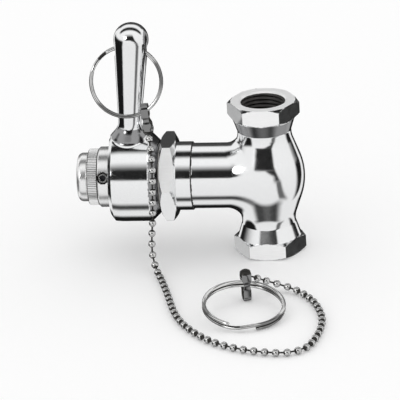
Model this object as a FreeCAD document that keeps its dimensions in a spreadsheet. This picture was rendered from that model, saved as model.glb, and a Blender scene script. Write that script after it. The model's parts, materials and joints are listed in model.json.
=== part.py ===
import FreeCAD, Part
import math
import os
import re
import Sketcher
from FreeCAD import Placement, Rotation, Vector

# Self-closing shower valve with a pull chain, in millimetres.
# Z runs up through both ports, X along the barrel from its cap towards the body, and -Y faces the user.
# The origin is the centre of the upper port's mouth.

SIZES = [
    # Body casting
    ("port_reach", 35.75, "barrel axis to the mouth of each port"),
    ("port_flats", 28.0, "across the flats of the port hexagons"),
    ("port_hex", 7.5, "height of a port hexagon"),
    ("port_corner", 0.9, "chamfer on the corners at a port's face"),
    ("port_bore", 9.9, "radius of a port's threaded bore"),
    ("port_depth", 14.0, "depth of a port's threaded bore"),
    ("port_under", 1.15, "height of the chamfer under a hexagon's corners"),
    ("neck", 12.0, "radius of the neck under a port hexagon"),
    ("neck_taper", 6.3, "height of the taper from hexagon to neck"),
    ("belly_corner", 18.8, "virtual corner of the belly"),
    ("belly_taper", 19.0, "height where the belly meets the neck"),
    ("belly_round", 28.0, "radius of the belly's round"),
    ("neck_blend", 12.0, "radius from neck to belly"),
    ("branch", 14.6, "radius of the branch to the barrel"),
    ("branch_blend", 5.5, "fillet between the branch and the upright"),
    ("seam", 32.4, "port axis to the end of the branch"),
    ("spigot", 12.9, "radius of the threaded spigot on the branch"),
    ("spigot_end", 39.0, "port axis to the spigot's end"),
    ("chamber", 10.8, "radius of the chamber in the branch"),
    ("way", 8.4, "radius of the waterway behind a port"),
    ("bowl", 13.4, "radius of the bowl behind the seat"),
    ("septum", 2.0, "half the thickness of the wall that carries the seat"),
    # Seat
    ("seat_ring_outer", 8.0, "radius of the seat ring in its hole"),
    ("seat_flange", 9.4, "radius of the seat ring's flange"),
    ("seat_bore", 6.2, "radius of the seat's bore"),
    ("seat_lip", 7.0, "outer radius of the raised seat lip"),
    ("seat_flange_thick", 1.2, "thickness of the flange"),
    ("seat_lip_height", 0.6, "height of the lip"),
    ("seat_gap", 0.05, "lip to washer when the valve is shut"),
    # Bonnet
    ("gasket_thick", 1.0, "bonnet gasket"),
    ("flange", 12.8, "radius of the bonnet sleeve's flange"),
    ("flange_thick", 3.0, "thickness of that flange"),
    ("sleeve", 10.0, "radius of the bonnet sleeve"),
    ("sleeve_bore", 7.6, "radius of the sleeve's spring bore"),
    ("sleeve_end", 78.0, "port axis to the sleeve's outer end"),
    ("packing", 9.6, "radius of the sleeve inside the branch"),
    ("packing_end", 33.0, "port axis to the sleeve's inner end"),
    ("packing_wall", 49.0, "port axis to the bottom of the spring bore"),
    ("seal_bore", 6.4, "radius of the bore for the stem seal"),
    ("seal_seat", 37.0, "port axis to the bottom of that bore"),
    ("gland_thick", 1.6, "thickness of the gland ring"),
    ("run", 0.06, "radial clearance of a running fit"),
    ("nut_flats", 35.0, "across the flats of the bonnet nut"),
    ("nut_start", 39.7, "port axis to the nut hexagon's inner face"),
    ("nut_end", 46.4, "port axis to its outer face"),
    ("nut_face", 17.6, "radius of the nut's face inside its chamfer"),
    ("skirt", 15.3, "radius of the nut's skirt"),
    # Barrel
    ("washer_thick", 0.7, "thrust washer between nut and barrel"),
    ("washer_outer", 14.6, "radius of that washer"),
    ("side_gap", 0.1, "end float on each side of a thrust face"),
    ("hub", 20.0, "radius of the barrel"),
    ("hub_start", 47.35, "port axis to the barrel's inner face"),
    ("hub_start_radius", 16.2, "radius of the barrel's inner face"),
    ("hub_shoulder", 51.3, "port axis to the end of the barrel's cone"),
    ("hub_end", 69.3, "port axis to the barrel's outer face"),
    ("hub_chamfer_long", 1.6, "outer chamfer along the barrel"),
    ("hub_chamfer_deep", 2.0, "outer chamfer across the barrel"),
    ("hub_groove", 12.1, "radius to the bottom of the pin grooves"),
    ("hub_groove_start", 52.0, "port axis to the closed end of the pin grooves"),
    ("ring_seat", 49.9, "port axis to the middle of the dust ring"),
    ("dust_ring", 0.7, "section radius of the dust ring"),
    # Lever
    ("lever_middle", 60.3, "port axis to the lever where it leaves the barrel"),
    ("lever_lean", 4.2, "lean of the lever towards the body, degrees"),
    ("lever_foot", 4.95, "radius of the lever above its flare"),
    ("lever_foot_height", 26.5, "barrel axis to the top of the flare"),
    ("lever_flare", 8.6, "radius of the flare at the barrel"),
    ("lever_flare_height", 19.3, "barrel axis to the foot of the flare"),
    ("flare_round", 7.0, "radius of the flare's curve"),
    ("lever_head", 7.75, "radius of the lever's round head"),
    ("lever_crown", 7.4, "radius of the round on the head"),
    ("lever_head_height", 65.3, "barrel axis to the centre of the head"),
    ("lever_hole", 2.9, "radius of the hole in the head"),
    ("lever_hole_height", 60.6, "barrel axis to that hole"),
    ("lever_hole_mouth", 0.5, "countersink of that hole"),
    # Stem
    ("stem", 4.0, "radius of the stem"),
    ("guide", 7.0, "radius of the stem's guide"),
    ("guide_start", 50.0, "port axis to the inner face of the guide"),
    ("guide_end", 58.0, "port axis to the outer face of the guide"),
    ("pilot", 3.2, "radius of the pilot inside the spring"),
    ("pilot_end", 62.0, "port axis to the end of the pilot"),
    ("pin", 1.5, "radius of the cam pin"),
    ("pin_reach", 11.8, "half the length of the cam pin"),
    ("pin_place", 54.0, "port axis to the cam pin when shut"),
    ("lift", 4.0, "travel of the stem"),
    ("turn", 45.0, "turn of the lever that gives that travel, degrees"),
    ("slot_wide", 4.0, "width of a cam slot along the barrel"),
    ("holder", 8.5, "radius of the disc holder"),
    ("holder_rim", 1.0, "height of its rim beside the washer"),
    ("holder_back", 2.6, "thickness of its back"),
    ("disc", 7.5, "radius of the seat washer"),
    ("disc_thick", 2.5, "thickness of the seat washer"),
    ("screw", 1.95, "radius of the washer screw"),
    ("screw_head", 3.5, "radius of its head"),
    ("screw_head_thick", 1.8, "height of its head"),
    ("screw_long", 12.0, "length under its head"),
    # Spring and adjuster
    ("coil", 5.4, "mean radius of the spring"),
    ("coil_wire", 0.65, "radius of the spring wire"),
    ("coil_turns", 5.0, "turns of the spring"),
    ("follower_start", 69.5, "port axis to the spring seat's face"),
    ("follower_thick", 2.5, "thickness of the spring seat"),
    ("key_reach", 8.6, "axis to the end of the spring seat's keys"),
    ("key_wide", 3.0, "width of those keys"),
    ("adjust_screw", 2.5, "radius of the adjusting screw"),
    ("adjust_start", 67.0, "port axis to the screw's tip"),
    ("adjust_flange", 4.6, "radius of the screw's flange"),
    ("adjust_flange_thick", 1.0, "thickness of that flange"),
    ("adjust_square", 5.0, "square end of the screw in the cap"),
    ("adjust_square_end", 81.5, "port axis to the end of the square"),
    ("bush_start", 75.0, "port axis to the inner face of the end bush"),
    ("collar", 13.5, "radius of the retaining collar"),
    ("collar_start", 69.4, "port axis to the collar's inner face"),
    ("collar_end", 74.6, "port axis to the collar's outer face"),
    ("collar_chamfer", 0.5, "chamfer on the collar"),
    ("set_screw", 2.2, "radius of the collar's set screw"),
    ("set_screw_angle", 19.0, "set screw above level, degrees"),
    ("set_screw_key", 2.0, "across the flats of its socket"),
    ("set_screw_sink", 0.35, "depth of the screw under the collar's surface"),
    ("knurl", 12.6, "radius over the knurled ring"),
    ("knurl_start", 74.75, "port axis to the knurled ring's inner face"),
    ("knurl_end", 79.4, "port axis to its outer face"),
    ("knurl_teeth", 88, "grooves round the knurled ring"),
    ("knurl_deep", 0.3, "depth of a groove"),
    ("cap", 10.9, "radius of the end cap"),
    ("cap_end", 84.5, "port axis to the end cap's face"),
    ("cap_round", 2.2, "round on the end cap"),
    ("cap_spigot", 9.2, "radius of the cap's spigot in the knurled ring"),
    ("cap_spigot_long", 0.9, "length of that spigot"),
    # Rings, clasps and chain
    ("wire", 0.8, "radius of the split-ring wire"),
    ("turn_gap", 0.04, "gap between the two turns of a split ring"),
    ("ring_turns", 1.96, "turns of a split ring"),
    ("floor_gap", 0.05, "pull ring and clasp to the surface they lie on"),
    ("lever_ring", 15.6, "mean radius of the ring in the lever"),
    ("lever_ring_drop", 14.28, "lever hole to the centre of that ring"),
    ("lever_ring_slide", 1.54, "sideways offset of that ring in the hole"),
    ("lever_ring_tilt", 14.0, "forward tilt of that ring, degrees"),
    ("lever_clasp_angle", 55.0, "clasp below level on that ring, degrees"),
    ("pull_ring", 17.4, "mean radius of the pull ring"),
    ("pull_ring_tilt", 10.5, "tilt of the pull ring as it lies, degrees"),
    ("pull_ring_low", -60.0, "direction of its low side, degrees"),
    ("pull_ring_split", 250.0, "direction of its first end, degrees"),
    ("pull_ring_across", -5.2, "port axis to its centre, to the right"),
    ("pull_ring_forward", 74.0, "port axis to its centre, towards the user"),
    ("pull_clasp_angle", 92.0, "direction of the clasp on that ring, degrees"),
    ("pull_clasp_twist", 20.0, "turn of that clasp from square to the ring, degrees"),
    ("clasp_inner", 2.05, "half the inner width of a clasp"),
    ("clasp_strip", 0.55, "thickness of the clasp's strip"),
    ("clasp_wide", 4.2, "width of the clasp's strip"),
    ("clasp_long", 11.2, "bead centre to the inside of the clasp's tips"),
    ("clasp_grip", 3.1, "tips to the middle of the ring in the lever's clasp"),
    ("clasp_mouth", 0.5, "half the gap between the tips"),
    ("clasp_hole", 0.8, "radius of the hole for the chain's link"),
    ("bead", 1.65, "radius of a chain bead"),
]

# The chain's route, chosen by hand from the upper clasp to the pull ring's clasp.
UPPER_ROUTE = [
    (-50.80, -8.46, -12.46),
    (-50.10, -10.20, -15.70),
    (-49.10, -16.00, -21.30),
    (-48.80, -19.70, -28.20),
    (-49.00, -21.00, -35.80),
    (-49.40, -21.10, -43.30),
]
LOWER_ROUTE = [
    (-49.40, -21.10, -43.30),
    (-49.79, -21.20, -50.60),
    (-50.60, -21.25, -57.00),
    (-50.60, -23.10, -64.00),
    (-48.60, -28.20, -68.90),
    (-45.60, -36.20, -69.85),
    (-42.60, -47.00, -69.85),
    (-39.60, -58.60, -69.85),
    (-36.90, -70.20, -69.85),
    (-33.00, -82.00, -69.85),
    (-26.60, -93.20, -69.85),
    (-17.40, -104.40, -69.85),
    (-5.60, -112.20, -69.85),
    (7.20, -116.40, -69.85),
    (17.60, -117.40, -69.85),
    (25.20, -112.20, -69.85),
    (27.80, -103.40, -69.85),
    (29.60, -92.80, -69.85),
    (29.60, -80.60, -69.85),
    (26.40, -68.40, -69.85),
    (23.00, -60.60, -69.85),
    (18.60, -54.00, -69.85),
    (13.30, -49.60, -69.20),
    (6.50, -48.40, -67.50),
    (0.00, -50.60, -64.50),
    (-3.20, -54.10, -61.60),
]

document = FreeCAD.newDocument("shower_valve")
sheet = document.addObject("Spreadsheet::Sheet", "sizes")
for row, (alias, size, note) in enumerate(SIZES, start=1):
    sheet.set(f"A{row}", alias)
    sheet.set(f"B{row}", str(size))
    sheet.set(f"C{row}", note)
    sheet.setAlias(f"B{row}", alias)
document.recompute()
ALIASES = {alias for alias, _, _ in SIZES}
pieces = {}


def bound(text):
    """Writes a sum of sizes as the sheet's own expression."""
    named = lambda word: "sizes." + word.group() if word.group() in ALIASES else word.group()
    return re.sub(r"[a-z]+(?:_[a-z]+)*", named, text)


def size(text):
    """Gives the value of a sum of sizes."""
    return float(sheet.evalExpression(bound(text)))


def bind(item, **formulas):
    """Ties an object's properties to the sheet."""
    for name, text in formulas.items():
        setattr(item, name, size(text))
        item.setExpression(name, bound(text))
    return item


def place(item, x="0", y="0", z="0", turn=None):
    """Puts an object at a place that follows the sheet."""
    item.Placement = Placement(Vector(size(x), size(y), size(z)), turn or Rotation())
    for axis, text in zip("xyz", (x, y, z)):
        if text != "0":
            item.setExpression(f"Placement.Base.{axis}", bound(text))
    return item


def keep(label, item):
    """Registers a finished piece of the valve."""
    item.Label = label
    pieces[label] = item
    return item


def plane_of(body, role):
    return next(part for part in body.Origin.OriginFeatures if part.Role == role)


def hold_point(sketch, geometry, end, corner):
    """Holds one point of a sketch at its two sizes."""
    for kind, text in zip(("DistanceX", "DistanceY"), corner):
        sketch.addConstraint(Sketcher.Constraint(kind, -1, 1, geometry, end, size(text)))
        sketch.setExpression(f"Constraints[{sketch.ConstraintCount - 1}]", bound(text))


def round_corner(before, corner, after, radius):
    """Finds where a round leaves its two lines, and the middle of its arc."""
    back = (before - corner).normalize()
    ahead = (after - corner).normalize()
    half = back.getAngle(ahead) / 2
    reach = radius / math.tan(half)
    middle = (back + ahead).normalize()
    centre = corner + middle * (radius / math.sin(half))
    return corner + back * reach, centre - middle * radius, corner + ahead * reach


def draw_outline(sketch, corners):
    """Draws a closed outline whose corners, some of them rounded, are held by sizes."""
    points = [Vector(size(corner[0]), size(corner[1]), 0) for corner in corners]
    count = len(points)
    starts = list(points)
    ends = list(points)
    arcs = {}
    for index, corner in enumerate(corners):
        if len(corner) == 3:
            around = (points[index - 1], points[index], points[(index + 1) % count])
            ends[index], middle, starts[index] = round_corner(*around, size(corner[2]))
            arcs[index] = Part.Arc(ends[index], middle, starts[index])
            if (middle - ends[index]).cross(starts[index] - middle).z < 0:
                arcs[index] = Part.Arc(starts[index], middle, ends[index])
    for index in range(count):
        sketch.addGeometry(Part.LineSegment(starts[index], ends[(index + 1) % count]), False)
    for index, corner in enumerate(corners):
        line_in = (index - 1) % count
        if index not in arcs:
            sketch.addConstraint(Sketcher.Constraint("Coincident", line_in, 2, index, 1))
            hold_point(sketch, index, 1, corner[:2])
            continue
        arc = sketch.addGeometry(arcs[index], False)
        point = sketch.addGeometry(Part.Point(points[index]), True)
        starts_first = arcs[index].StartPoint.distanceToPoint(ends[index]) < 1e-6
        near, far = (1, 2) if starts_first else (2, 1)
        sketch.addConstraint(Sketcher.Constraint("Tangent", line_in, 2, arc, near))
        sketch.addConstraint(Sketcher.Constraint("Tangent", arc, far, index, 1))
        sketch.addConstraint(Sketcher.Constraint("PointOnObject", point, 1, line_in))
        sketch.addConstraint(Sketcher.Constraint("PointOnObject", point, 1, index))
        sketch.addConstraint(Sketcher.Constraint("Radius", arc, size(corner[2])))
        sketch.setExpression(f"Constraints[{sketch.ConstraintCount - 1}]", bound(corner[2]))
        hold_point(sketch, point, 1, corner[:2])


def outline_body(name, role, corners):
    """Starts a body with one outline on one of its planes."""
    body = document.addObject("PartDesign::Body", name)
    sketch = body.newObject("Sketcher::SketchObject", name + "_outline")
    sketch.AttachmentSupport = (plane_of(body, role), [""])
    sketch.MapMode = "FlatFace"
    draw_outline(sketch, corners)
    document.recompute()
    return body, sketch


def turned(name, corners, axis="H_Axis"):
    """Turns an outline of (along, radius) about the barrel axis, or (radius, height) about V_Axis."""
    body, sketch = outline_body(name, "XZ_Plane", corners)
    revolve = body.newObject("PartDesign::Revolution", name + "_turned")
    revolve.Profile = sketch
    revolve.ReferenceAxis = (sketch, [axis])
    revolve.Angle = 360
    document.recompute()
    return place(body, z="-port_reach")


def ring_outline(inner, outer, start, end):
    """A plain ring on the barrel axis, between two distances left of the port axis."""
    return [
        (f"-({end})", inner),
        (f"-({end})", outer),
        (f"-({start})", outer),
        (f"-({start})", inner),
    ]


def rod(name, radius, start, end, turn=None):
    """A cylinder on the barrel axis, between two distances left of the port axis."""
    item = bind(document.addObject("Part::Cylinder", name), Radius=radius, Height=f"{end} - ({start})")
    place(item, x=f"-({start})", z="-port_reach", turn=turn or Rotation(Vector(0, 1, 0), -90))
    return item


def upright(name, radius, low, high):
    """A cylinder on the port axis, between two heights over the barrel axis."""
    item = bind(document.addObject("Part::Cylinder", name), Radius=radius, Height=f"{high} - ({low})")
    return place(item, z=f"{low} - port_reach")


def fused(name, *items):
    item = document.addObject("Part::MultiFuse", name)
    item.Shapes = list(items)
    return item


def cut(name, base, tool):
    item = document.addObject("Part::Cut", name)
    item.Base = base
    item.Tool = tool
    return item


def common(name, *items):
    item = document.addObject("Part::MultiCommon", name)
    item.Shapes = list(items)
    return item


def worked_out(name, shape):
    """Holds a shape that has no feature of its own."""
    item = document.addObject("Part::Feature", name)
    item.Shape = shape
    return item


def hexagon(name, flats, height):
    prism = document.addObject("Part::Prism", name)
    prism.Polygon = 6
    return bind(prism, Circumradius=f"{flats} / sqrt(3)", Height=height)


# Valve body

def casting():
    """The upright with its belly and hexagons, and the branch to the barrel."""
    corner = "port_flats / sqrt(3)"
    shoulder = "port_reach - port_hex"
    half = [
        ("0", "port_reach"),
        (f"{corner} - port_corner", "port_reach"),
        (corner, "port_reach - port_corner"),
        (corner, f"{shoulder} + port_under"),
        (f"{corner} - 2 * port_under", shoulder),
        ("neck", f"{shoulder} - neck_taper"),
        ("neck", "belly_taper", "neck_blend"),
    ]
    lower = [(point[0], f"-({point[1]})", *point[2:]) for point in reversed(half)]
    body, sketch = outline_body("casting", "XZ_Plane", half + [("belly_corner", "0", "belly_round")] + lower)
    revolve = body.newObject("PartDesign::Revolution", "upright_turned")
    revolve.Profile = sketch
    revolve.ReferenceAxis = (sketch, ["V_Axis"])
    revolve.Angle = 360
    for name, radius, length in (("branch_pad", "branch", "seam"), ("spigot_pad", "spigot", "spigot_end")):
        circle = body.newObject("Sketcher::SketchObject", name + "_circle")
        circle.AttachmentSupport = (plane_of(body, "YZ_Plane"), [""])
        circle.MapMode = "FlatFace"
        circle.addGeometry(Part.Circle(Vector(), Vector(0, 0, 1), size(radius)), False)
        circle.addConstraint(Sketcher.Constraint("Coincident", 0, 3, -1, 1))
        circle.addConstraint(Sketcher.Constraint("Radius", 0, size(radius)))
        circle.setExpression("Constraints[1]", bound(radius))
        pad = body.newObject("PartDesign::Pad", name)
        pad.Profile = circle
        pad.Reversed = True
        bind(pad, Length=length)
        document.recompute()
    blend = body.newObject("PartDesign::Fillet", "branch_blend_fillet")
    blend.Base = (pad, branch_edges(pad.Shape))
    bind(blend, Radius="branch_blend")
    document.recompute()
    return place(body, z="-port_reach")


def is_branch(face):
    surface = face.Surface
    return isinstance(surface, Part.Cylinder) and abs(surface.Radius - size("branch")) < 1e-4


def branch_edges(shape):
    """Names the edges where the branch meets the upright."""
    names = []
    for index, edge in enumerate(shape.Edges, start=1):
        faces = shape.ancestorsOfType(edge, Part.Face)
        sides = [is_branch(face) for face in faces]
        flat = any(isinstance(face.Surface, Part.Plane) for face in faces)
        if len(faces) == 2 and sides[0] != sides[1] and not flat:
            names.append(f"Edge{index}")
    return names


def hex_trim(name, flats, radius, low, high):
    """What a hexagon leaves of a round end, as a cutter."""
    blank = bind(document.addObject("Part::Cylinder", name + "_blank"), Radius=radius, Height=f"{high} - ({low})")
    prism = hexagon(name + "_flats", flats, f"{high} - ({low})")
    return cut(name, blank, prism)


def make_valve_body():
    trims = []
    over = "port_flats"
    for name, low, high in (
        ("upper", "port_reach - port_hex", "port_reach"),
        ("lower", "-port_reach", "port_hex - port_reach"),
    ):
        trim = hex_trim(name + "_hex", "port_flats", over, low, high)
        trims.append(place(trim, z=f"{low} - port_reach"))
    bores = []
    for name, low, high in (
        ("upper", "port_reach - port_depth", "port_reach"),
        ("lower", "-port_reach", "port_depth - port_reach"),
    ):
        bores.append(upright(name + "_bore", "port_bore", low, high))
    reach = "2 * port_reach"
    inlet_side = bind(document.addObject("Part::Box", "inlet_side"), Length="port_reach", Width=reach, Height=reach)
    place(inlet_side, x="-port_reach - septum", y="-port_reach", z=f"-{reach}")
    outlet_side = bind(document.addObject("Part::Box", "outlet_side"), Length="port_reach", Width=reach, Height=reach)
    place(outlet_side, x="septum", y="-port_reach", z=f"-{reach}")
    inlet_way = common("inlet_way", inlet_side, upright("inlet_pipe", "way", "0", "port_reach - port_depth / 2"))
    bowl = place(bind(document.addObject("Part::Sphere", "bowl_ball"), Radius="bowl"), z="-port_reach")
    outlet_pipe = upright("outlet_pipe", "way", "port_depth / 2 - port_reach", "0")
    outlet_way = common("outlet_way", outlet_side, fused("outlet_shape", bowl, outlet_pipe))
    chamber = rod("chamber_bore", "chamber", "septum", "spigot_end")
    seat_hole = rod("seat_hole", "seat_ring_outer", "-septum - 1", "septum + 1")
    core = fused("core", *bores, inlet_way, outlet_way, chamber, seat_hole)
    trimmed = cut("trimmed_casting", casting(), fused("hex_cutters", *trims))
    keep("valve_body", cut("valve_body", trimmed, core))


def make_seat_ring():
    face = "septum + seat_flange_thick"
    lip = f"{face} + seat_lip_height"
    keep("seat_ring", turned("seat_ring", [
        ("septum", "seat_bore"),
        (f"-({lip})", "seat_bore"),
        (f"-({lip})", "seat_lip"),
        (f"-({face})", "seat_lip"),
        (f"-({face})", "seat_flange"),
        ("-septum", "seat_flange"),
        ("-septum", "seat_ring_outer"),
        ("septum", "seat_ring_outer"),
    ]))


# Bonnet

def helical_slots():
    """Two slots through the sleeve that draw the cam pin outwards as the barrel turns."""
    inner = size("sleeve_bore - 0.6")
    outer = size("sleeve + 0.6")
    half = size("slot_wide / 2")
    lead = size("lift * 360 / turn")
    helix = Part.makeHelix(lead, size("lift"), size("sleeve"), 0, True)
    profile = Part.makePolygon([
        Vector(inner, 0, -half),
        Vector(outer, 0, -half),
        Vector(outer, 0, half),
        Vector(inner, 0, half),
        Vector(inner, 0, -half),
    ])
    swept = Part.Wire(helix.Edges).makePipeShell([profile], True, True)
    ends = []
    for turn_by, rise in ((0, 0), (-size("turn"), size("lift"))):
        end = Part.makeCylinder(half * 0.88, outer - inner, Vector(inner, 0, rise), Vector(1, 0, 0))
        ends.append(end.rotate(Vector(), Vector(0, 0, 1), turn_by))
    slot = swept.multiFuse(ends)
    other = slot.copy().rotate(Vector(), Vector(0, 0, 1), 180)
    return Part.makeCompound([slot, other])


def make_bonnet():
    gasket_end = "spigot_end + gasket_thick"
    flange_end = f"{gasket_end} + flange_thick"
    keep("bonnet_gasket", turned("bonnet_gasket",
                                 ring_outline("packing + 0.1", "flange", "spigot_end", gasket_end)))
    blank = turned("sleeve_blank", [
        ("-packing_end", "seal_bore"),
        ("-seal_seat", "seal_bore"),
        ("-seal_seat", "stem + run"),
        ("-packing_wall", "stem + run"),
        ("-packing_wall", "sleeve_bore"),
        ("-sleeve_end", "sleeve_bore"),
        ("-sleeve_end", "sleeve"),
        (f"-({flange_end})", "sleeve"),
        (f"-({flange_end})", "flange"),
        (f"-({gasket_end})", "flange"),
        (f"-({gasket_end})", "packing"),
        ("-packing_end", "packing"),
    ])
    slots = worked_out("cam_slots", helical_slots())
    outwards = Rotation(Vector(0, -1, 0), Vector(0, 0, 1), Vector(-1, 0, 0))
    place(slots, x="-pin_place", z="-port_reach", turn=outwards)
    keyway = document.addObject("Part::Box", "sleeve_keyway")
    bind(keyway, Length="sleeve_end - follower_start + 3", Width="key_wide + 2 * run",
         Height="2 * (key_reach + run)")
    place(keyway, x="-sleeve_end", y="-key_wide / 2 - run", z="-port_reach - key_reach - run")
    keep("bonnet_sleeve", cut("bonnet_sleeve", blank, fused("sleeve_cutters", slots, keyway)))
    seal_start = "packing_end + gland_thick"
    keep("stem_seal", turned("stem_seal", ring_outline("stem + run", "seal_bore", seal_start, "seal_seat")))
    keep("gland_ring", turned("gland_ring", ring_outline("stem + run", "seal_bore", "packing_end", seal_start)))
    blank = turned("nut_blank", [
        ("-seam", "spigot + run"),
        (f"-({flange_end})", "spigot + run"),
        (f"-({flange_end})", "sleeve + run"),
        ("-nut_end", "sleeve + run"),
        ("-nut_end", "nut_face"),
        ("nut_flats / 3 - nut_face / sqrt(3) - nut_end", "nut_flats / sqrt(3)"),
        ("nut_face / sqrt(3) - nut_flats / 3 - nut_start", "nut_flats / sqrt(3)"),
        ("-nut_start", "nut_face"),
        ("-nut_start", "skirt"),
        ("-seam", "skirt"),
    ])
    trim = hex_trim("nut_hex", "nut_flats", "nut_flats", "nut_start", "nut_end")
    place(trim, x="-nut_start", z="-port_reach", turn=outwards)
    keep("bonnet_nut", cut("bonnet_nut", blank, trim))
    keep("thrust_washer", turned("thrust_washer", ring_outline(
        "sleeve + run", "washer_outer", "nut_end + side_gap", "nut_end + side_gap + washer_thick")))


# Barrel and lever

def lever_place(item, along="0", height="0", turn=None):
    """Places a piece in the lever's own leaning frame, from the foot of its axis."""
    lean = Rotation(Vector(0, 1, 0), size("lever_lean"))
    foot = lever_point(Vector(size(along), 0, size(height)))
    item.Placement = Placement(foot, lean.multiply(turn) if turn else lean)
    return item


def lever_point(local):
    """Turns a place in the lever's frame into one of the valve's."""
    lean = Rotation(Vector(0, 1, 0), size("lever_lean"))
    foot = Vector(-size("lever_middle + hub * tan(lever_lean * 1deg)"), 0, -size("port_reach"))
    return foot + lean.multVec(local)


def make_barrel():
    hub = turned("hub_blank", [
        ("-hub_start", "sleeve + run"),
        ("-hub_end", "sleeve + run"),
        ("-hub_end", "hub - hub_chamfer_deep"),
        ("hub_chamfer_long - hub_end", "hub"),
        ("-hub_shoulder", "hub"),
        ("-hub_start", "hub_start_radius"),
    ])
    arm_body, sketch = outline_body("arm", "XZ_Plane", [
        ("0", "hub / 2 + sleeve / 2"),
        ("lever_flare", "hub / 2 + sleeve / 2"),
        ("lever_flare", "lever_flare_height"),
        ("lever_foot", "lever_foot_height - flare_round / 3", "flare_round"),
        ("lever_head", "lever_head_height"),
        ("lever_head", "lever_head_height + lever_head", "lever_crown"),
        ("0", "lever_head_height + lever_head"),
    ])
    revolve = arm_body.newObject("PartDesign::Revolution", "arm_turned")
    revolve.Profile = sketch
    revolve.ReferenceAxis = (sketch, ["V_Axis"])
    revolve.Angle = 360
    document.recompute()
    lever_place(arm_body)
    hole = bind(document.addObject("Part::Cylinder", "arm_hole"), Radius="lever_hole", Height="3 * lever_head")
    across = Rotation(Vector(0, 1, 0), 90)
    lever_place(hole, "-1.5 * lever_head", "lever_hole_height", across)
    mouths = []
    for name, side in (("left", -1), ("right", 1)):
        cone = document.addObject("Part::Cone", f"arm_mouth_{name}")
        bind(cone, Radius1="lever_hole", Radius2="lever_hole + 3 * lever_hole_mouth", Height="3 * lever_hole_mouth")
        out = Rotation(Vector(0, 1, 0), 90 * side)
        lever_place(cone, f"{side} * (lever_head - 2 * lever_hole_mouth)", "lever_hole_height", out)
        mouths.append(cone)
    grooves = document.addObject("Part::Box", "pin_grooves")
    bind(grooves, Length="hub_end - hub_groove_start", Width="2 * hub_groove", Height="2 * (pin + run)")
    place(grooves, x="-hub_end", y="-hub_groove", z="-port_reach - pin - run")
    seat = document.addObject("Part::Torus", "ring_groove")
    bind(seat, Radius1="sleeve + run + dust_ring", Radius2="dust_ring + run / 2")
    place(seat, x="-ring_seat", z="-port_reach", turn=Rotation(Vector(0, 1, 0), 90))
    barrel = fused("barrel_casting", hub, arm_body)
    cutters = fused("barrel_cutters", hole, *mouths, grooves, seat)
    keep("lever_barrel", cut("lever_barrel", barrel, cutters))
    ring = document.addObject("Part::Torus", "dust_ring_torus")
    bind(ring, Radius1="sleeve + run + dust_ring", Radius2="dust_ring")
    keep("dust_ring", place(ring, x="-ring_seat", z="-port_reach", turn=Rotation(Vector(0, 1, 0), 90)))


# Stem

def make_stem():
    lip = "septum + seat_flange_thick + seat_lip_height + seat_gap"
    back = f"{lip} + disc_thick"
    stem_start = f"{back} + holder_back"
    blank = turned("stem_blank", [
        (f"-({stem_start})", "screw"),
        (f"-({lip} + screw_long)", "screw"),
        (f"-({lip} + screw_long)", "0"),
        ("-pilot_end", "0"),
        ("-pilot_end", "pilot"),
        ("-guide_end", "pilot"),
        ("-guide_end", "guide"),
        ("-guide_start", "guide"),
        ("-guide_start", "stem"),
        (f"-({stem_start})", "stem"),
    ])
    across = Rotation(Vector(1, 0, 0), 90)
    for name, owner in (("pin_hole", "stem"), ("cam_pin", "pin")):
        item = bind(document.addObject("Part::Cylinder", name), Radius="pin", Height="2 * pin_reach")
        place(item, x="-pin_place", y="pin_reach", z="-port_reach", turn=across)
        if owner == "stem":
            keep("stem", cut("stem", blank, item))
        else:
            keep("cam_pin", item)
    keep("disc_holder", turned("disc_holder", [
        (f"-({back})", "screw"),
        (f"-({stem_start})", "screw"),
        (f"-({stem_start})", "holder"),
        (f"holder_rim - ({back})", "holder"),
        (f"holder_rim - ({back})", "disc"),
        (f"-({back})", "disc"),
    ]))
    keep("seat_washer", turned("seat_washer", ring_outline("screw", "disc", lip, back)))
    head = turned("screw_blank", [
        (f"-({lip} + screw_long)", "0"),
        (f"-({lip} + screw_long)", "screw"),
        (f"-({lip})", "screw"),
        (f"-({lip})", "screw_head"),
        (f"screw_head_thick - ({lip})", "screw_head"),
        (f"screw_head_thick - ({lip})", "0"),
    ])
    slot = document.addObject("Part::Box", "driver_slot")
    bind(slot, Length="screw_head_thick / 2", Width="2 * screw_head", Height="screw_head / 4")
    place(slot, x=f"screw_head_thick / 2 - ({lip})", y="-screw_head", z="-port_reach - screw_head / 8")
    keep("washer_screw", cut("washer_screw", head, slot))


# Spring and adjuster

def make_spring():
    """A round-wire helix between the stem's guide and the spring seat."""
    wire = size("coil_wire")
    start = size("guide_end + seat_gap") + wire
    end = size("follower_start - seat_gap") - wire
    rise = end - start
    helix = Part.makeHelix(rise / size("coil_turns"), rise, size("coil"))
    ring = Part.Wire(Part.makeCircle(wire, Vector(size("coil"), 0, 0), Vector(0, 1, 0)))
    spring = worked_out("return_spring", Part.Wire(helix.Edges).makePipeShell([ring], True, True))
    spring.Placement = Placement(Vector(-start, 0, -size("port_reach")), Rotation(Vector(0, 1, 0), -90))
    keep("return_spring", spring)


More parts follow.
